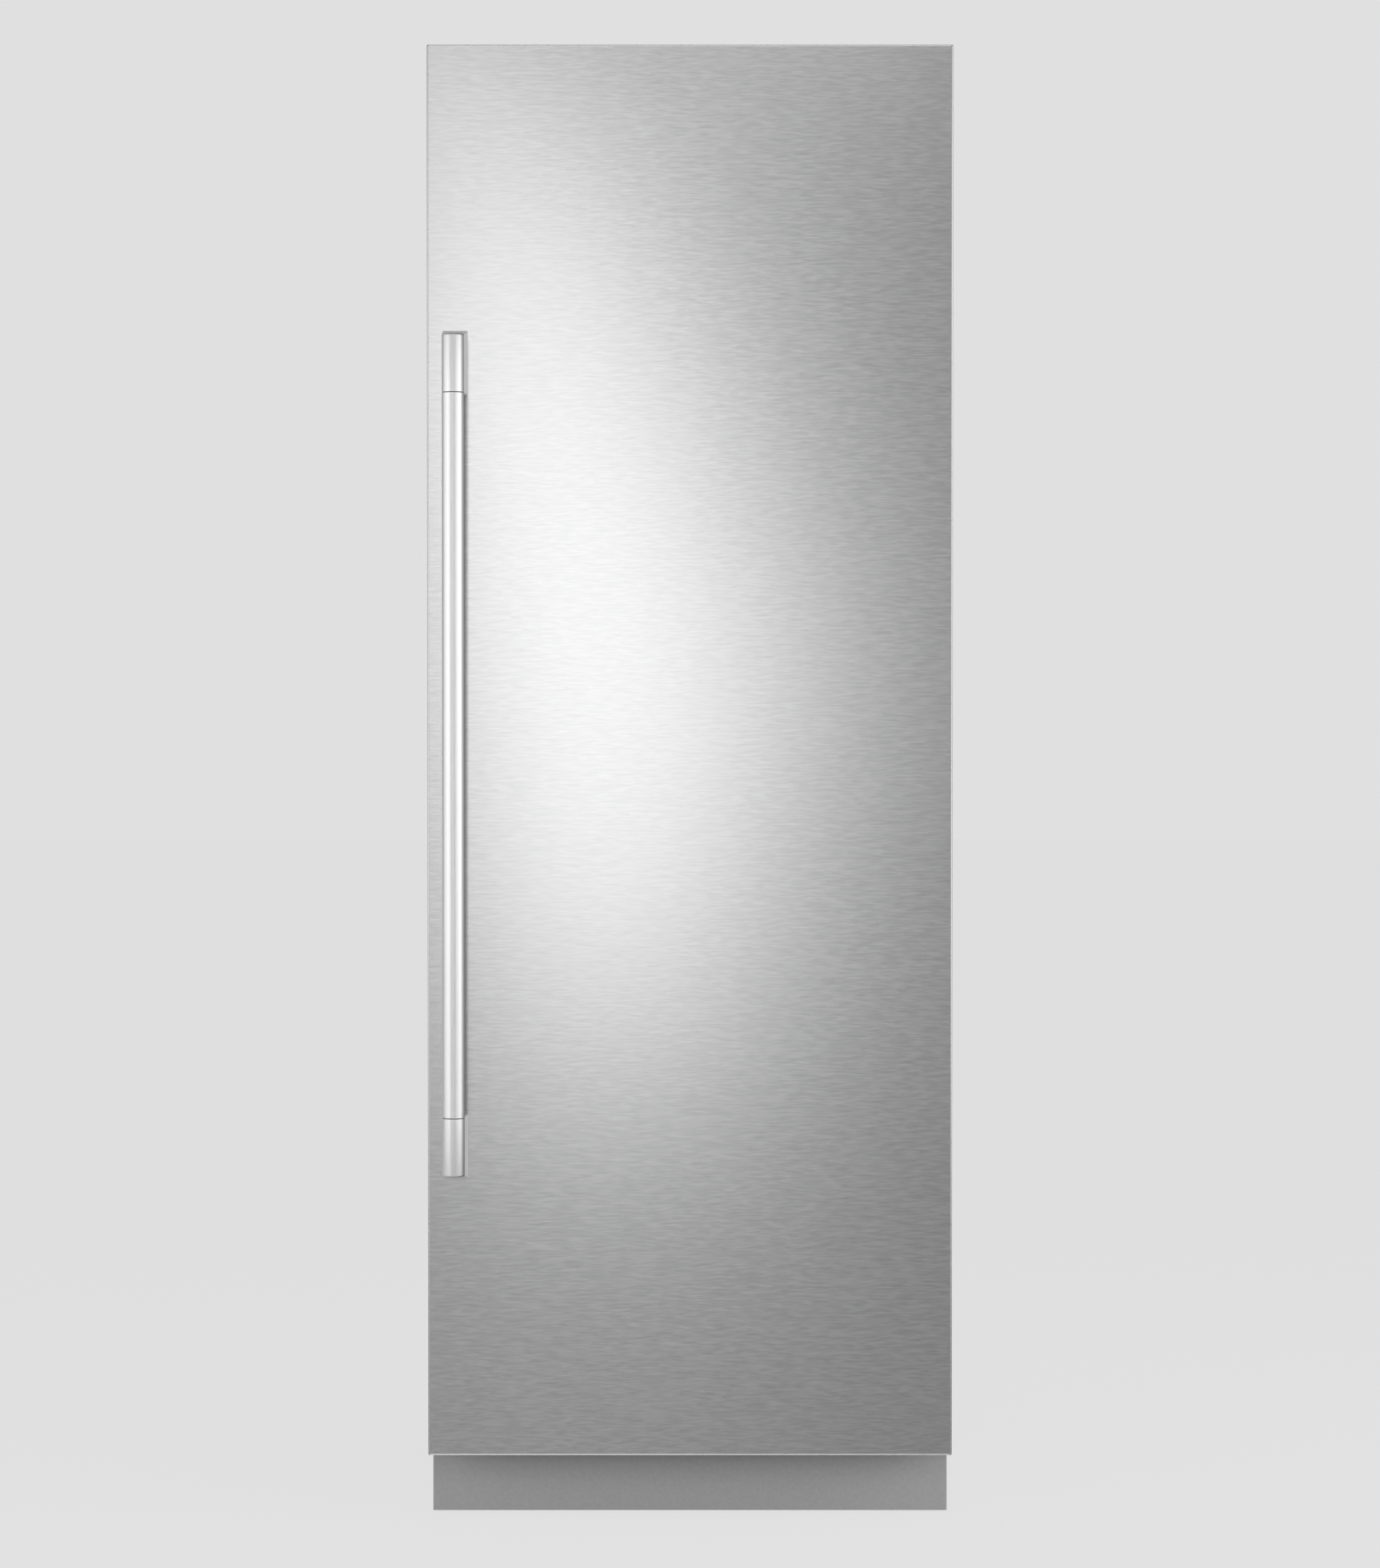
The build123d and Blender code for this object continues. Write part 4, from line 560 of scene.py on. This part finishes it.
top_depth = upper_plate_high.y - upper_plate_low.y
top_row = [upper_plate_low.y + top_depth * share for share in top_row_shares]
top_places = [(top_screw_xs[0], y) for y in top_row] + [(top_screw_xs[1], y) for y in top_row[::2]]
lower_screw_y = lower_plate_high.y - lower_screw_inset
lower_screw_z = lower_plate_low.z + lower_screw_rise
screws("hinge_screws", [
    *[((upper_plate_low.x + x, y, upper_plate_high.z), (0, 0, 1)) for x, y in top_places],
    *[((lower_plate_low.x + x, lower_screw_y, lower_screw_z), (0, -1, 0)) for x in lower_screw_xs],
])


# Base: two steel channels on levelling feet at the front and hard rubber rollers at the rear.
# The feet are turned with a spanner from the front, behind the toe kick.
leg_low, leg_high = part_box("levelling_legs")
foot_radius = (leg_high.y - leg_low.y) / 2 / math.cos(math.pi / hexagon)
foot_height = 0.01
foot_edge = 0.0012
stem_sides = 24
stem_radius = 0.006
thread_pitch = 0.0015
thread_depth = 0.0008
tyre_round = 0.004
tyre_round_steps = 4
tyre_sides = 56
roller_bore = 0.00505
hub_share = 0.62
hub_dish = 0.003
black_rubber = grained(
    "black_rubber", (0.025, 0.025, 0.026), (0.045, 0.045, 0.047), (0.6, 0.8), 0.002, relief=0.00003
)


def levelling_foot(shape, side):
    """Adds a hexagonal foot and its threaded stem."""
    centre = Vector((side * (leg_high.x - foot_radius), (leg_low.y + leg_high.y) / 2, 0))
    flat, shoulder = foot_radius - foot_edge, foot_height - foot_edge
    turned(shape, [
        (0, 0), (flat, 0), (foot_radius, foot_edge),
        (foot_radius, shoulder), (flat, foot_height), (0, foot_height),
    ], hexagon, centre)
    root = stem_radius - thread_depth
    z = shoulder
    profile = [(0, z)]
    while z < leg_high.z - thread_pitch:
        profile += [(stem_radius, z), (root, z + thread_pitch / 2)]
        z += thread_pitch
    turned(shape, [*profile, (root, leg_high.z), (0, leg_high.z)], stem_sides, centre)


levelling_feet = made("levelling_feet", lambda shape: [levelling_foot(shape, side) for side in (-1, 1)])
fit(levelling_feet, zinc_plate, "cabinet", "levelling_legs")
dressed("roller_axles", "roller_bolts", zinc_plate, edge=0.0005)


def roller_form(shape, low, high):
    """Adds a tyre with rounded shoulders and dished sides."""
    radius = (high.z - low.z) / 2
    half = (high.x - low.x) / 2
    centre = (low + high) / 2
    edge = quarter_round(radius, half, tyre_round, tyre_round_steps, 1)
    hub = radius * hub_share
    dish = half - hub_dish
    right = [*edge, (hub, half), (hub - hub_dish, dish), (roller_bore, dish)]
    left = [(r, -x) for r, x in reversed(right)]
    turned(shape, [*left, *right, left[0]], tyre_sides, centre, Vector((1, 0, 0)), Vector((0, 0, 1)))


for side in ("left", "right"):
    low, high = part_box(f"roller_{side}")
    tyre = made(f"tyre_{side}", lambda shape: roller_form(shape, low, high))
    fit(tyre, black_rubber, f"roller_{side}", f"roller_{side}")


# Machine bay: a welded compressor on rubber feet, a finned condenser over a drain pan, and a fan between.
# It sits on a steel tray at the bottom rear, behind a slotted cover.
black_enamel = grained(
    "black_enamel", (0.012, 0.012, 0.013), (0.03, 0.03, 0.032), (0.28, 0.42), 0.0016, relief=0.00004
)
black_plastic = grained(
    "black_plastic", (0.02, 0.02, 0.021), (0.04, 0.04, 0.042), (0.45, 0.6), 0.0012, relief=0.00003
)
fin_metal = grained(
    "fin_metal", (0.66, 0.67, 0.68), (0.8, 0.81, 0.82), (0.3, 0.45), 0.006, relief=0.00001, metal=1.0
)
copper = grained(
    "copper", (0.62, 0.31, 0.19), (0.78, 0.43, 0.29), (0.22, 0.4), 0.008, relief=0.00001, metal=1.0
)
shell_low, shell_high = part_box("compressor")
feet_low, feet_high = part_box("compressor_grommets")
shell_centre = Vector(((feet_low.x + feet_high.x) / 2, (feet_low.y + feet_high.y) / 2, 0))
shell_radius = 0.074
shell_foot = 0.082
shell_foot_height = 0.004
shell_skirt = 0.003
shell_skirt_height = 0.012
shell_sides = 72
seam_rise = 0.003
seam_slope = 0.001
seam_height = 0.004
seam_below_dome = 0.005
dome = 0.034
dome_steps = 12
dome_fullness = 0.6
terminal_half = 0.018
terminal_depth = 0.03
terminal_heights = (0.04, 0.08)
terminal_edge = 0.003
grommet_radius = 0.01
grommet_sides = 24
grommet_waist = ((1, 0), (1, 0.3), (0.8, 0.5), (0.96, 0.75), (0.9, 1))
dressed("compressor_tray", "bay_tray", zinc_sheet)


def compressor_form(shape):
    """Adds the shell: foot plate, drawn cup, welded seam and domed lid."""
    base, top = shell_low.z, shell_high.z
    foot_top = base + shell_foot_height
    seam = top - dome - seam_below_dome
    seam_radius = shell_radius + seam_rise
    crown = []
    for step in range(dome_steps):
        turn = math.pi / 2 * step / dome_steps
        crown.append((shell_radius * math.cos(turn) ** dome_fullness, top - dome + dome * math.sin(turn)))
    turned(shape, [
        (0, base), (shell_foot, base), (shell_foot, foot_top), (shell_radius + shell_skirt, foot_top),
        (shell_radius, base + shell_skirt_height), (shell_radius, seam),
        (seam_radius, seam + seam_slope), (seam_radius, seam + seam_height), *crown, (0, top),
    ], shell_sides, shell_centre)


compressor_shell = made("compressor_shell", compressor_form)
fit(compressor_shell, black_enamel, "cabinet", "compressor")
terminal_box = made("terminal_box", lambda shape: slab(
    shape,
    (shell_low.x, shell_centre.y - terminal_half, shell_low.z + terminal_heights[0]),
    (shell_low.x + terminal_depth, shell_centre.y + terminal_half, shell_low.z + terminal_heights[1]),
))
fit(round_edges(terminal_box, terminal_edge, steps=3), black_plastic, "cabinet")


def grommet_form(shape):
    """Adds the four feet, each waisted where the plate sits in it."""
    height = feet_high.z - feet_low.z
    side = [(grommet_radius * wide, height * rise) for wide, rise in grommet_waist]
    for x in (feet_low.x + grommet_radius, feet_high.x - grommet_radius):
        for y in (feet_low.y + grommet_radius, feet_high.y - grommet_radius):
            turned(shape, [(0, 0), *side, (0, height)], grommet_sides, Vector((x, y, feet_low.z)))


fit(made("compressor_feet", grommet_form), black_rubber, "cabinet", "compressor_grommets")

fin_wall = 0.0004
end_plate_half = 0.001
coil_rows = (1 / 6, 1 / 2, 5 / 6)
pipe_radius = 0.004
pipe_sides = 14
bend_points = 7
coil_bend_share = 0.98
fin_tree, fin_start, fin_end = new_tree(
    "row_of_fins", ("Count", "Int"), ("Pitch", "Float"), ("First", "Vector"),
    ("Fin", "Vector"), ("Finish", "Material"),
)
fin_line = fin_tree.nodes.new("GeometryNodeMeshLine")
fin_step = fin_tree.nodes.new("ShaderNodeCombineXYZ")
fin_plate = fin_tree.nodes.new("GeometryNodeMeshCube")
fin_copies = fin_tree.nodes.new("GeometryNodeInstanceOnPoints")
fin_tree.links.new(fin_start.outputs["Count"], fin_line.inputs["Count"])
fin_tree.links.new(fin_start.outputs["Pitch"], fin_step.inputs["X"])
fin_tree.links.new(fin_step.outputs[0], fin_line.inputs["Offset"])
fin_tree.links.new(fin_start.outputs["First"], fin_line.inputs["Start Location"])
fin_tree.links.new(fin_start.outputs["Fin"], fin_plate.inputs["Size"])
fin_tree.links.new(fin_line.outputs["Mesh"], fin_copies.inputs["Points"])
fin_tree.links.new(fin_plate.outputs["Mesh"], fin_copies.inputs["Instance"])
realised(fin_tree, fin_start, fin_end, fin_copies.outputs["Instances"])

pipe_tree, pipe_start, pipe_end = new_tree(
    "pipe_on_path", ("Radius", "Float"), ("Bend", "Float"), ("Finish", "Material")
)
pipe_curve = pipe_tree.nodes.new("GeometryNodeMeshToCurve")
pipe_bends = pipe_tree.nodes.new("GeometryNodeFilletCurve")
pipe_round = pipe_tree.nodes.new("GeometryNodeCurvePrimitiveCircle")
pipe_skin = pipe_tree.nodes.new("GeometryNodeCurveToMesh")
pipe_bends.mode = "POLY"
pipe_bends.inputs["Count"].default_value = bend_points
pipe_round.inputs["Resolution"].default_value = pipe_sides
pipe_skin.inputs["Fill Caps"].default_value = True
pipe_tree.links.new(pipe_start.outputs["Geometry"], pipe_curve.inputs["Mesh"])
pipe_tree.links.new(pipe_curve.outputs["Curve"], pipe_bends.inputs["Curve"])
pipe_tree.links.new(pipe_start.outputs["Bend"], pipe_bends.inputs["Radius"])
pipe_tree.links.new(pipe_start.outputs["Radius"], pipe_round.inputs["Radius"])
pipe_tree.links.new(pipe_bends.outputs["Curve"], pipe_skin.inputs["Curve"])
pipe_tree.links.new(pipe_round.outputs["Curve"], pipe_skin.inputs["Profile Curve"])
realised(pipe_tree, pipe_start, pipe_end, pipe_skin.outputs["Mesh"])


def pipes(name, paths, radius, bend, finish, *nodes):
    """Round pipes along paths of straight runs, each closed into a loop where its last point is None."""
    corners, runs = [], []
    for path in paths:
        first = len(corners)
        closed = path[-1] is None
        corners += path[:-1] if closed else path
        runs += [(index, index + 1) for index in range(first, len(corners) - 1)]
        if closed:
            runs.append((len(corners) - 1, first))
    mesh = bpy.data.meshes.new(name)
    mesh.from_pydata(corners, runs, [])
    source = placed(name + "_path", mesh)
    grown(name, source, pipe_tree, finish, "cabinet", {"Radius": radius, "Bend": bend}, nodes)


def finned_coil(name, node, pitch):
    """A coil: thin fins between two end plates, on tubes that turn back outside the plates."""
    low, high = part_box(node)
    middle = (low + high) / 2
    depth, height = high.y - low.y, high.z - low.z
    reach = depth / 4 + pipe_radius
    left, right = low.x + reach, high.x - reach
    count = int((right - left) / pitch)
    source = placed(name + "_start", bpy.data.meshes.new(name + "_start"))
    grown(name + "_fins", source, fin_tree, fin_metal, "cabinet", {
        "Count": count, "Pitch": pitch, "First": (middle.x - (count - 1) * pitch / 2, middle.y, middle.z),
        "Fin": (fin_wall, depth, height),
    }, (node,))
    plates = made(name + "_plates", lambda shape: [
        slab(shape, (x - end_plate_half, low.y, low.z), (x + end_plate_half, high.y, high.z))
        for x in (left, right)
    ])
    fit(plates, zinc_sheet, "cabinet")
    near, far = middle.y - depth / 4, middle.y + depth / 4
    start, stop = low.x + pipe_radius, high.x - pipe_radius
    loops = []
    for share in coil_rows:
        z = low.z + height * share
        loops.append([(start, near, z), (stop, near, z), (stop, far, z), (start, far, z), None])
    pipes(name + "_tubes", loops, pipe_radius, depth / 4 * coil_bend_share, copper)


finned_coil("condenser", "condenser_coil", pitch=0.005)
dressed("drain_pan", "defrost_pan", black_plastic, edge=0.0008)
dressed("condenser_shroud", "fan_shroud", black_plastic, edge=0.0006)
upright = Vector((0, 0, 1))
shaft_bore = 0.00435
hub_sides = 40
hub_round = 0.3
hub_round_steps = 4
blade_count = 5
blade_root = 0.9
blade_wall = 0.0009
blade_camber = 0.003
root_pitch = 38
pitch_fall = 14
blade_steps = 6
blade_spans = 8


def chord_share(share):
    """How a blade widens from its root and narrows again towards the tip."""
    return 0.8 + 0.5 * math.sin(math.pi * (0.25 + 0.6 * share)) - 0.25 * share


def fan_form(shape, centre, axis, hub, tip, width, back, front):
    """Adds a hub and its twisted, cambered blades between two places along the axis."""
    side = axis.cross(upright)
    middle = (back + front) / 2
    root = hub * blade_root
    nose = quarter_round(hub, front, hub * hub_round, hub_round_steps, 1)
    profile = [(shaft_bore, back), (hub, back), *nose, (shaft_bore, front), (shaft_bore, back)]
    turned(shape, profile, hub_sides, centre, axis, upright)
    for blade in range(blade_count):
        sheets = []
        for lift in (-blade_wall, blade_wall):
            grid = []
            for i in range(blade_steps + 1):
                share = i / blade_steps
                r = root + (tip - root) * share
                pitch = math.radians(root_pitch - pitch_fall * share)
                chord = width * chord_share(share)
                line = []
                for j in range(blade_spans + 1):
                    t = j / blade_spans - 0.5
                    turn = 2 * math.pi * blade / blade_count + t * chord * math.cos(pitch) / r
                    bow = blade_camber * (0.25 - t * t) * 4 * share
                    along = middle + t * chord * math.sin(pitch) + bow + lift
                    outward = upright * math.cos(turn) + side * math.sin(turn)
                    line.append(shape.verts.new(centre + axis * along + outward * r))
                grid.append(line)
            sheets.append(grid)
        low_sheet, high_sheet = sheets
        for grid, flip in ((low_sheet, True), (high_sheet, False)):
            for i in range(blade_steps):
                for j in range(blade_spans):
                    ring = [grid[i][j], grid[i][j + 1], grid[i + 1][j + 1], grid[i + 1][j]]
                    shape.faces.new(list(reversed(ring)) if flip else ring)
        rim = [(i, 0) for i in range(blade_steps + 1)]
        rim += [(blade_steps, j) for j in range(1, blade_spans + 1)]
        rim += [(i, blade_spans) for i in range(blade_steps - 1, -1, -1)]
        rim += [(0, j) for j in range(blade_spans - 1, 0, -1)]
        for (a, b), (c, d) in zip(rim, rim[1:] + rim[:1]):
            shape.faces.new((low_sheet[a][b], low_sheet[c][d], high_sheet[c][d], high_sheet[a][b]))


def fan(name, node, axis, hub, tip, width):
    """A fan wheel that stands on the axis of its own joint."""
    low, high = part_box(node)
    centre = next(Vector(joint["pos_m"]) for joint in frame["joints"] if joint["child"] == body_with(node))
    reach = [(corner - centre).dot(axis) for corner in (low, high)]
    back, front = min(reach), max(reach)
    wheel = made(name, lambda shape: fan_form(shape, centre, axis, hub, tip, width, back, front))
    fit(wheel, black_plastic, body_with(node), node)


fan("condenser_fan_wheel", "condenser_fan", Vector((1, 0, 0)), hub=0.018, tip=0.066, width=0.034)
pipe_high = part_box("refrigerant_pipes")[1]
coil_low, coil_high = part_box("condenser_coil")
pipe_bend = 0.015
pipe_sunk = 0.002
run_drop = 0.022
stub_offset = 0.024
stub_sunk = 0.01
drier_offset = 0.06
drier_profile = [(pipe_radius, -0.018), (0.009, -0.012), (0.009, 0.012), (pipe_radius, 0.018)]
drier_sides = 24
bay_y = shell_centre.y
run_z = pipe_high.z - run_drop
coil_x = (coil_low.x + coil_high.x) / 2
coil_top = coil_high.z - pipe_sunk
drier_x = coil_x - drier_offset
stub_x = shell_centre.x + stub_offset
pipes("copper_pipes", [
    [
        (shell_centre.x, bay_y, shell_high.z - pipe_sunk), (shell_centre.x, bay_y, run_z),
        (coil_x, bay_y, run_z), (coil_x, bay_y, coil_top),
    ],
    [(stub_x, bay_y, shell_high.z - stub_sunk), (stub_x, bay_y, pipe_high.z)],
    [(drier_x, bay_y, coil_top), (drier_x, bay_y, pipe_high.z)],
], pipe_radius, pipe_bend, copper, "refrigerant_pipes")
drier_centre = Vector((drier_x, bay_y, (coil_high.z + pipe_high.z) / 2))
drier = made("filter_drier", lambda shape: turned(shape, drier_profile, drier_sides, drier_centre))
fit(drier, copper, "cabinet")
dressed("machine_cover", "bay_cover", zinc_sheet)
dressed("power_gland", "lead_bushing", black_plastic, edge=0.0005)
cover_low, cover_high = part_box("machine_cover")
cover_inset_x = 0.012
cover_inset_z = 0.01
cover_xs = (cover_low.x + cover_inset_x, 0, cover_high.x - cover_inset_x)
cover_zs = (cover_low.z + cover_inset_z, cover_high.z - cover_inset_z)
screws("cover_screws", [((x, cover_high.y, z), (0, 1, 0)) for x in cover_xs for z in cover_zs])


# Cold air: an evaporator behind a moulded cover on the rear wall, and a small fan that blows through
# its grille. Two slotted steel tracks beside it carry the shelves.
satin_white = grained("satin_white", 0.8, 0.84, (0.32, 0.45), 0.004, relief=0.00002)
finned_coil("evaporator", "evaporator_coil", pitch=0.006)
dressed("air_fan_motor", "fan_motor", black_plastic, edge=0.0006)
fan("air_fan_wheel", "air_fan", Vector((0, 1, 0)), hub=0.014, tip=0.05, width=0.016)
dressed("duct_cover", "air_duct_cover", satin_white, edge=0.0008)
dressed("shelf_tracks", "shelf_track_pair", case_paint, edge=0.0003)


# Shelves: clear glass in a white moulded rim, on two steel arms that hook into the tracks.
# The lowest one covers the drawers and sits on ribs of the liner.
shelf_glass = grained("shelf_glass", (0.78, 0.9, 0.87), (0.82, 0.93, 0.9), (0.02, 0.05), 0.05)
tune(shelf_glass, Alpha=0.22, IOR=1.5)
dressed("shelf_frames", "shelf_rims", satin_white, edge=0.0012)
dressed("shelf_glass", "shelf_panes", shelf_glass, edge=0.0005)


# Drawers: clear moulded trays with a thick front and a scooped grip, on white channels.
# Their side ledges slide in the channels, which are fixed to the liner.
clear_plastic = grained("clear_plastic", (0.86, 0.9, 0.91), (0.9, 0.94, 0.95), (0.06, 0.14), 0.02)
tune(clear_plastic, Alpha=0.26, IOR=1.49)
dressed("drawer_runners", "drawer_channels", satin_white, edge=0.0004)
for name in ("lower", "middle", "upper"):
    dressed(f"drawer_{name}", f"{name}_tray", clear_plastic, edge=0.0012)


# Lights and controls: a frosted strip on each side wall, and a white housing under the ceiling.
# The housing has a dark display and three keys that press in.
light_lens = grained("light_lens", (0.9, 0.9, 0.88), (0.96, 0.96, 0.93), (0.4, 0.55), 0.003)
tune(light_lens, Emission_Color=(1.0, 0.98, 0.94, 1), Emission_Strength=1.6)
dark_glass = grained("dark_glass", (0.006, 0.006, 0.008), (0.014, 0.014, 0.017), (0.05, 0.12), 0.01)
mark_grey = grained("mark_grey", (0.12, 0.12, 0.13), (0.18, 0.18, 0.19), (0.5, 0.6), 0.002)
mark_rise = 0.0002
mark_half = 0.0034
mark_wall = 0.0008
mark_sides = 26
mark_gap = 3
dressed("light_bars", "light_strips", light_lens, edge=0.0006)
dressed("control_housing", "control_panel", satin_white, edge=0.0008)
dressed("display_window", "display_lens", dark_glass, edge=0.0003)


def stroke(shape, centre, half, down, up):
    """Adds one flat stroke of a mark."""
    x, y, z = centre
    slab(shape, (x - half, y - mark_rise, z - down), (x + half, y + mark_rise, z + up))


def key_mark(shape, centre, kind):
    """Adds the mark on a key: a ring with a stroke, a minus or a plus."""
    x, y, z = centre
    thin = mark_wall / 2
    if kind == "power":
        for step in range(mark_gap, mark_sides - mark_gap):
            turn = math.pi / 2 + 2 * math.pi * (step + 0.5) / mark_sides
            spot = (x + mark_half * math.cos(turn), y, z + mark_half * math.sin(turn))
            stroke(shape, spot, thin, thin, thin)
        stroke(shape, centre, thin, 0, mark_half + mark_wall)
        return
    stroke(shape, centre, mark_half, thin, thin)
    if kind == "warmer":
        stroke(shape, centre, thin, mark_half, mark_half)


for kind in ("power", "cooler", "warmer"):
    low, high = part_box(f"button_{kind}")
    dressed(f"button_{kind}", f"key_{kind}", satin_white, edge=0.0006)
    face = Vector(((low.x + high.x) / 2, low.y, (low.z + high.z) / 2))
    mark = made(f"mark_{kind}", lambda shape: key_mark(shape, face, kind))
    fit(mark, mark_grey, f"button_{kind}")


# Door bins and dairy compartment: clear moulded trays whose ears rest on the liner's lugs.
# The dairy compartment has a lid on two pins that lifts towards the shelves.
dressed("door_bin_low", "low_door_bin", clear_plastic, edge=0.0008)
dressed("door_bins_upper", "upper_door_bins", clear_plastic, edge=0.0008)
dressed("dairy_box", "dairy_tray", clear_plastic, edge=0.0008)
dressed("dairy_lid", "dairy_flap", clear_plastic, edge=0.0006)


# Top of the case: a vented plastic cover over the control board, and two angles for wall screws.
# The board stands on four pillars and has the chips, relays and plugs that such boards have.
board_green = grained(
    "board_green", (0.01, 0.09, 0.04), (0.02, 0.13, 0.06), (0.3, 0.45), 0.002, relief=0.00001
)
dressed("electronics_cover", "board_cover", black_plastic, edge=0.0008)
dressed("control_board", "circuit_board", board_green, edge=0.0002)
dressed("anti_tip_angles", "wall_angles", zinc_plate, edge=0.0005)
board_low, board_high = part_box("control_board")
chip_count = 6
chip_pitch = 0.024
chip_xs = (0.016, 0.031)
chip_ys = (0.02, 0.034)
chip_row_steps = (0.017, 0.021)
chip_rise = 0.004
chip_rise_step = 0.0025
chip_edge = 0.0006


def board_part(shape, index):
    """Adds one part of the board. They differ in row, depth and height."""
    x = board_low.x + chip_pitch * index
    near, far = [board_low.y + y + step * (index % 3) for y, step in zip(chip_ys, chip_row_steps)]
    top = board_high.z + chip_rise + chip_rise_step * (index % 2)
    slab(shape, (x + chip_xs[0], near, board_high.z), (x + chip_xs[1], far, top))


board_parts = made("board_parts", lambda shape: [board_part(shape, index) for index in range(chip_count)])
fit(round_edges(board_parts, chip_edge), black_plastic, "cabinet")


# Floor, room, lamps and camera: a plain pale room with large soft lamps.
# A tall lamp behind the camera leans to the left and makes the glow on the door.
# The lamps at the sides light the round handle.
room_grey = (0.745, 0.745, 0.745)
floor_grey = (0.785, 0.785, 0.785)
room_light = (0.35, 0.35, 0.35)
lit_share = 0.1
bright_side = 1.31
dim_side = 0.89
bright_side_x = (-0.45, 0.75)
floor_half = 30.0
camera_place = Vector((0.0, -6.68, 1.193))
camera_tilt = math.radians(1.14)
focal_length = 102.13
long_side = 36.0


def seen_directly(nodes, links):
    """A socket that is 1 for what the camera sees, straight or by way of metal and glass."""
    path = nodes.new("ShaderNodeLightPath")
    socket = path.outputs["Is Camera Ray"]
    for kind in ("Is Glossy Ray", "Is Transmission Ray"):
        either = nodes.new("ShaderNodeMath")
        either.operation = "MAXIMUM"
        links.new(socket, either.inputs[0])
        links.new(path.outputs[kind], either.inputs[1])
        socket = either.outputs[0]
    return socket


def pale_floor():
    """The room's grey to the camera, a little brighter on the left to shiny surfaces, with a soft shadow."""
    finish = bpy.data.materials.new("pale_floor")
    finish.use_nodes = True
    nodes, links = finish.node_tree.nodes, finish.node_tree.links
    nodes.clear()
    flat = nodes.new("ShaderNodeEmission")
    flat.inputs["Color"].default_value = (*floor_grey, 1)
    place = nodes.new("ShaderNodeTexCoord")
    axes = nodes.new("ShaderNodeSeparateXYZ")
    brighter = ranged(nodes, bright_side_x, (bright_side, dim_side))
    path = nodes.new("ShaderNodeLightPath")
    level = nodes.new("ShaderNodeMix")
    level.inputs["A"].default_value = 1.0
    links.new(place.outputs["Object"], axes.inputs[0])
    links.new(axes.outputs["X"], brighter.inputs["Value"])
    links.new(path.outputs["Is Glossy Ray"], level.inputs["Factor"])
    links.new(brighter.outputs["Result"], level.inputs["B"])
    links.new(level.outputs["Result"], flat.inputs["Strength"])
    matt = nodes.new("ShaderNodeBsdfDiffuse")
    matt.inputs["Color"].default_value = (*room_grey, 1)
    share = nodes.new("ShaderNodeMath")
    share.operation = "MULTIPLY"
    share.inputs[1].default_value = 1 - lit_share
    both_looks = nodes.new("ShaderNodeMixShader")
    out = nodes.new("ShaderNodeOutputMaterial")
    links.new(seen_directly(nodes, links), share.inputs[0])
    links.new(share.outputs[0], both_looks.inputs["Fac"])
    links.new(matt.outputs[0], both_looks.inputs[1])
    links.new(flat.outputs[0], both_looks.inputs[2])
    links.new(both_looks.outputs[0], out.inputs["Surface"])
    return finish


floor = made("floor", lambda shape: bmesh.ops.create_grid(shape, size=floor_half))
floor.data.materials.append(pale_floor())

room = bpy.data.worlds.new("room")
room.use_nodes = True
bpy.context.scene.world = room
room_nodes, room_links = room.node_tree.nodes, room.node_tree.links
room_tone = room_nodes.new("ShaderNodeMix")
room_tone.data_type = "RGBA"
room_tone.inputs["A"].default_value = (*room_light, 1)
room_tone.inputs["B"].default_value = (*room_grey, 1)
room_links.new(seen_directly(room_nodes, room_links), room_tone.inputs["Factor"])
room_links.new(room_tone.outputs["Result"], room_nodes["Background"].inputs["Color"])


def soft_lamp(name, place, aim, width, height, glow, lean):
    """A rectangular lamp of an even brightness that faces a point, turned about its own axis by a lean."""
    light = bpy.data.lights.new(name, "AREA")
    light.shape = "RECTANGLE"
    light.size = width
    light.size_y = height
    light.energy = glow * math.pi * width * height
    lamp = placed(name, light)
    lamp.location = place
    lamp.rotation_mode = "QUATERNION"
    facing = (Vector(aim) - Vector(place)).to_track_quat("-Z", "Y")
    lamp.rotation_quaternion = facing @ Matrix.Rotation(lean, 3, "Z").to_quaternion()


handle_spot = (-0.34, -0.34, 1.2)
for name, place, aim, width, height, glow, lean in (
    ("glow_lamp", (-0.42, -8.3, 1.45), (-0.42, 0, 1.45), 0.8, 2.86, 5.6, 0.14),
    ("upper_lamp", (-0.43, -8.3, 2.36), (-0.43, 0, 2.36), 0.56, 3.3, 4.1, 0.5),
    ("top_lamp", (0.411, -8.3, 4.357), (0.411, 0, 4.357), 0.896, 2.115, 1.987, 0.0),
    ("left_lamp", (-3.25, -3.08, 1.2), handle_spot, 3.0, 3.2, 2.37, 0.0),
    ("far_left_lamp", (-4.33, -0.66, 1.2), handle_spot, 2.57, 3.2, 1.45, 0.0),
    ("right_lamp", (2.99, -2.588, 1.2), handle_spot, 4.77, 3.2, 2.0, 0.0),
    ("far_right_lamp", (3.65, -0.66, 1.2), handle_spot, 2.2, 3.2, 1.7, 0.0),
):
    soft_lamp(name, place, aim, width, height, glow, lean)
lens = bpy.data.cameras.new("camera")
lens.sensor_width = long_side
lens.lens = focal_length
camera = placed("camera", lens)
camera.location = camera_place
camera.rotation_euler = (math.radians(90) - camera_tilt, 0, 0)
bpy.context.scene.camera = camera
bpy.context.scene.view_settings.view_transform = "Standard"
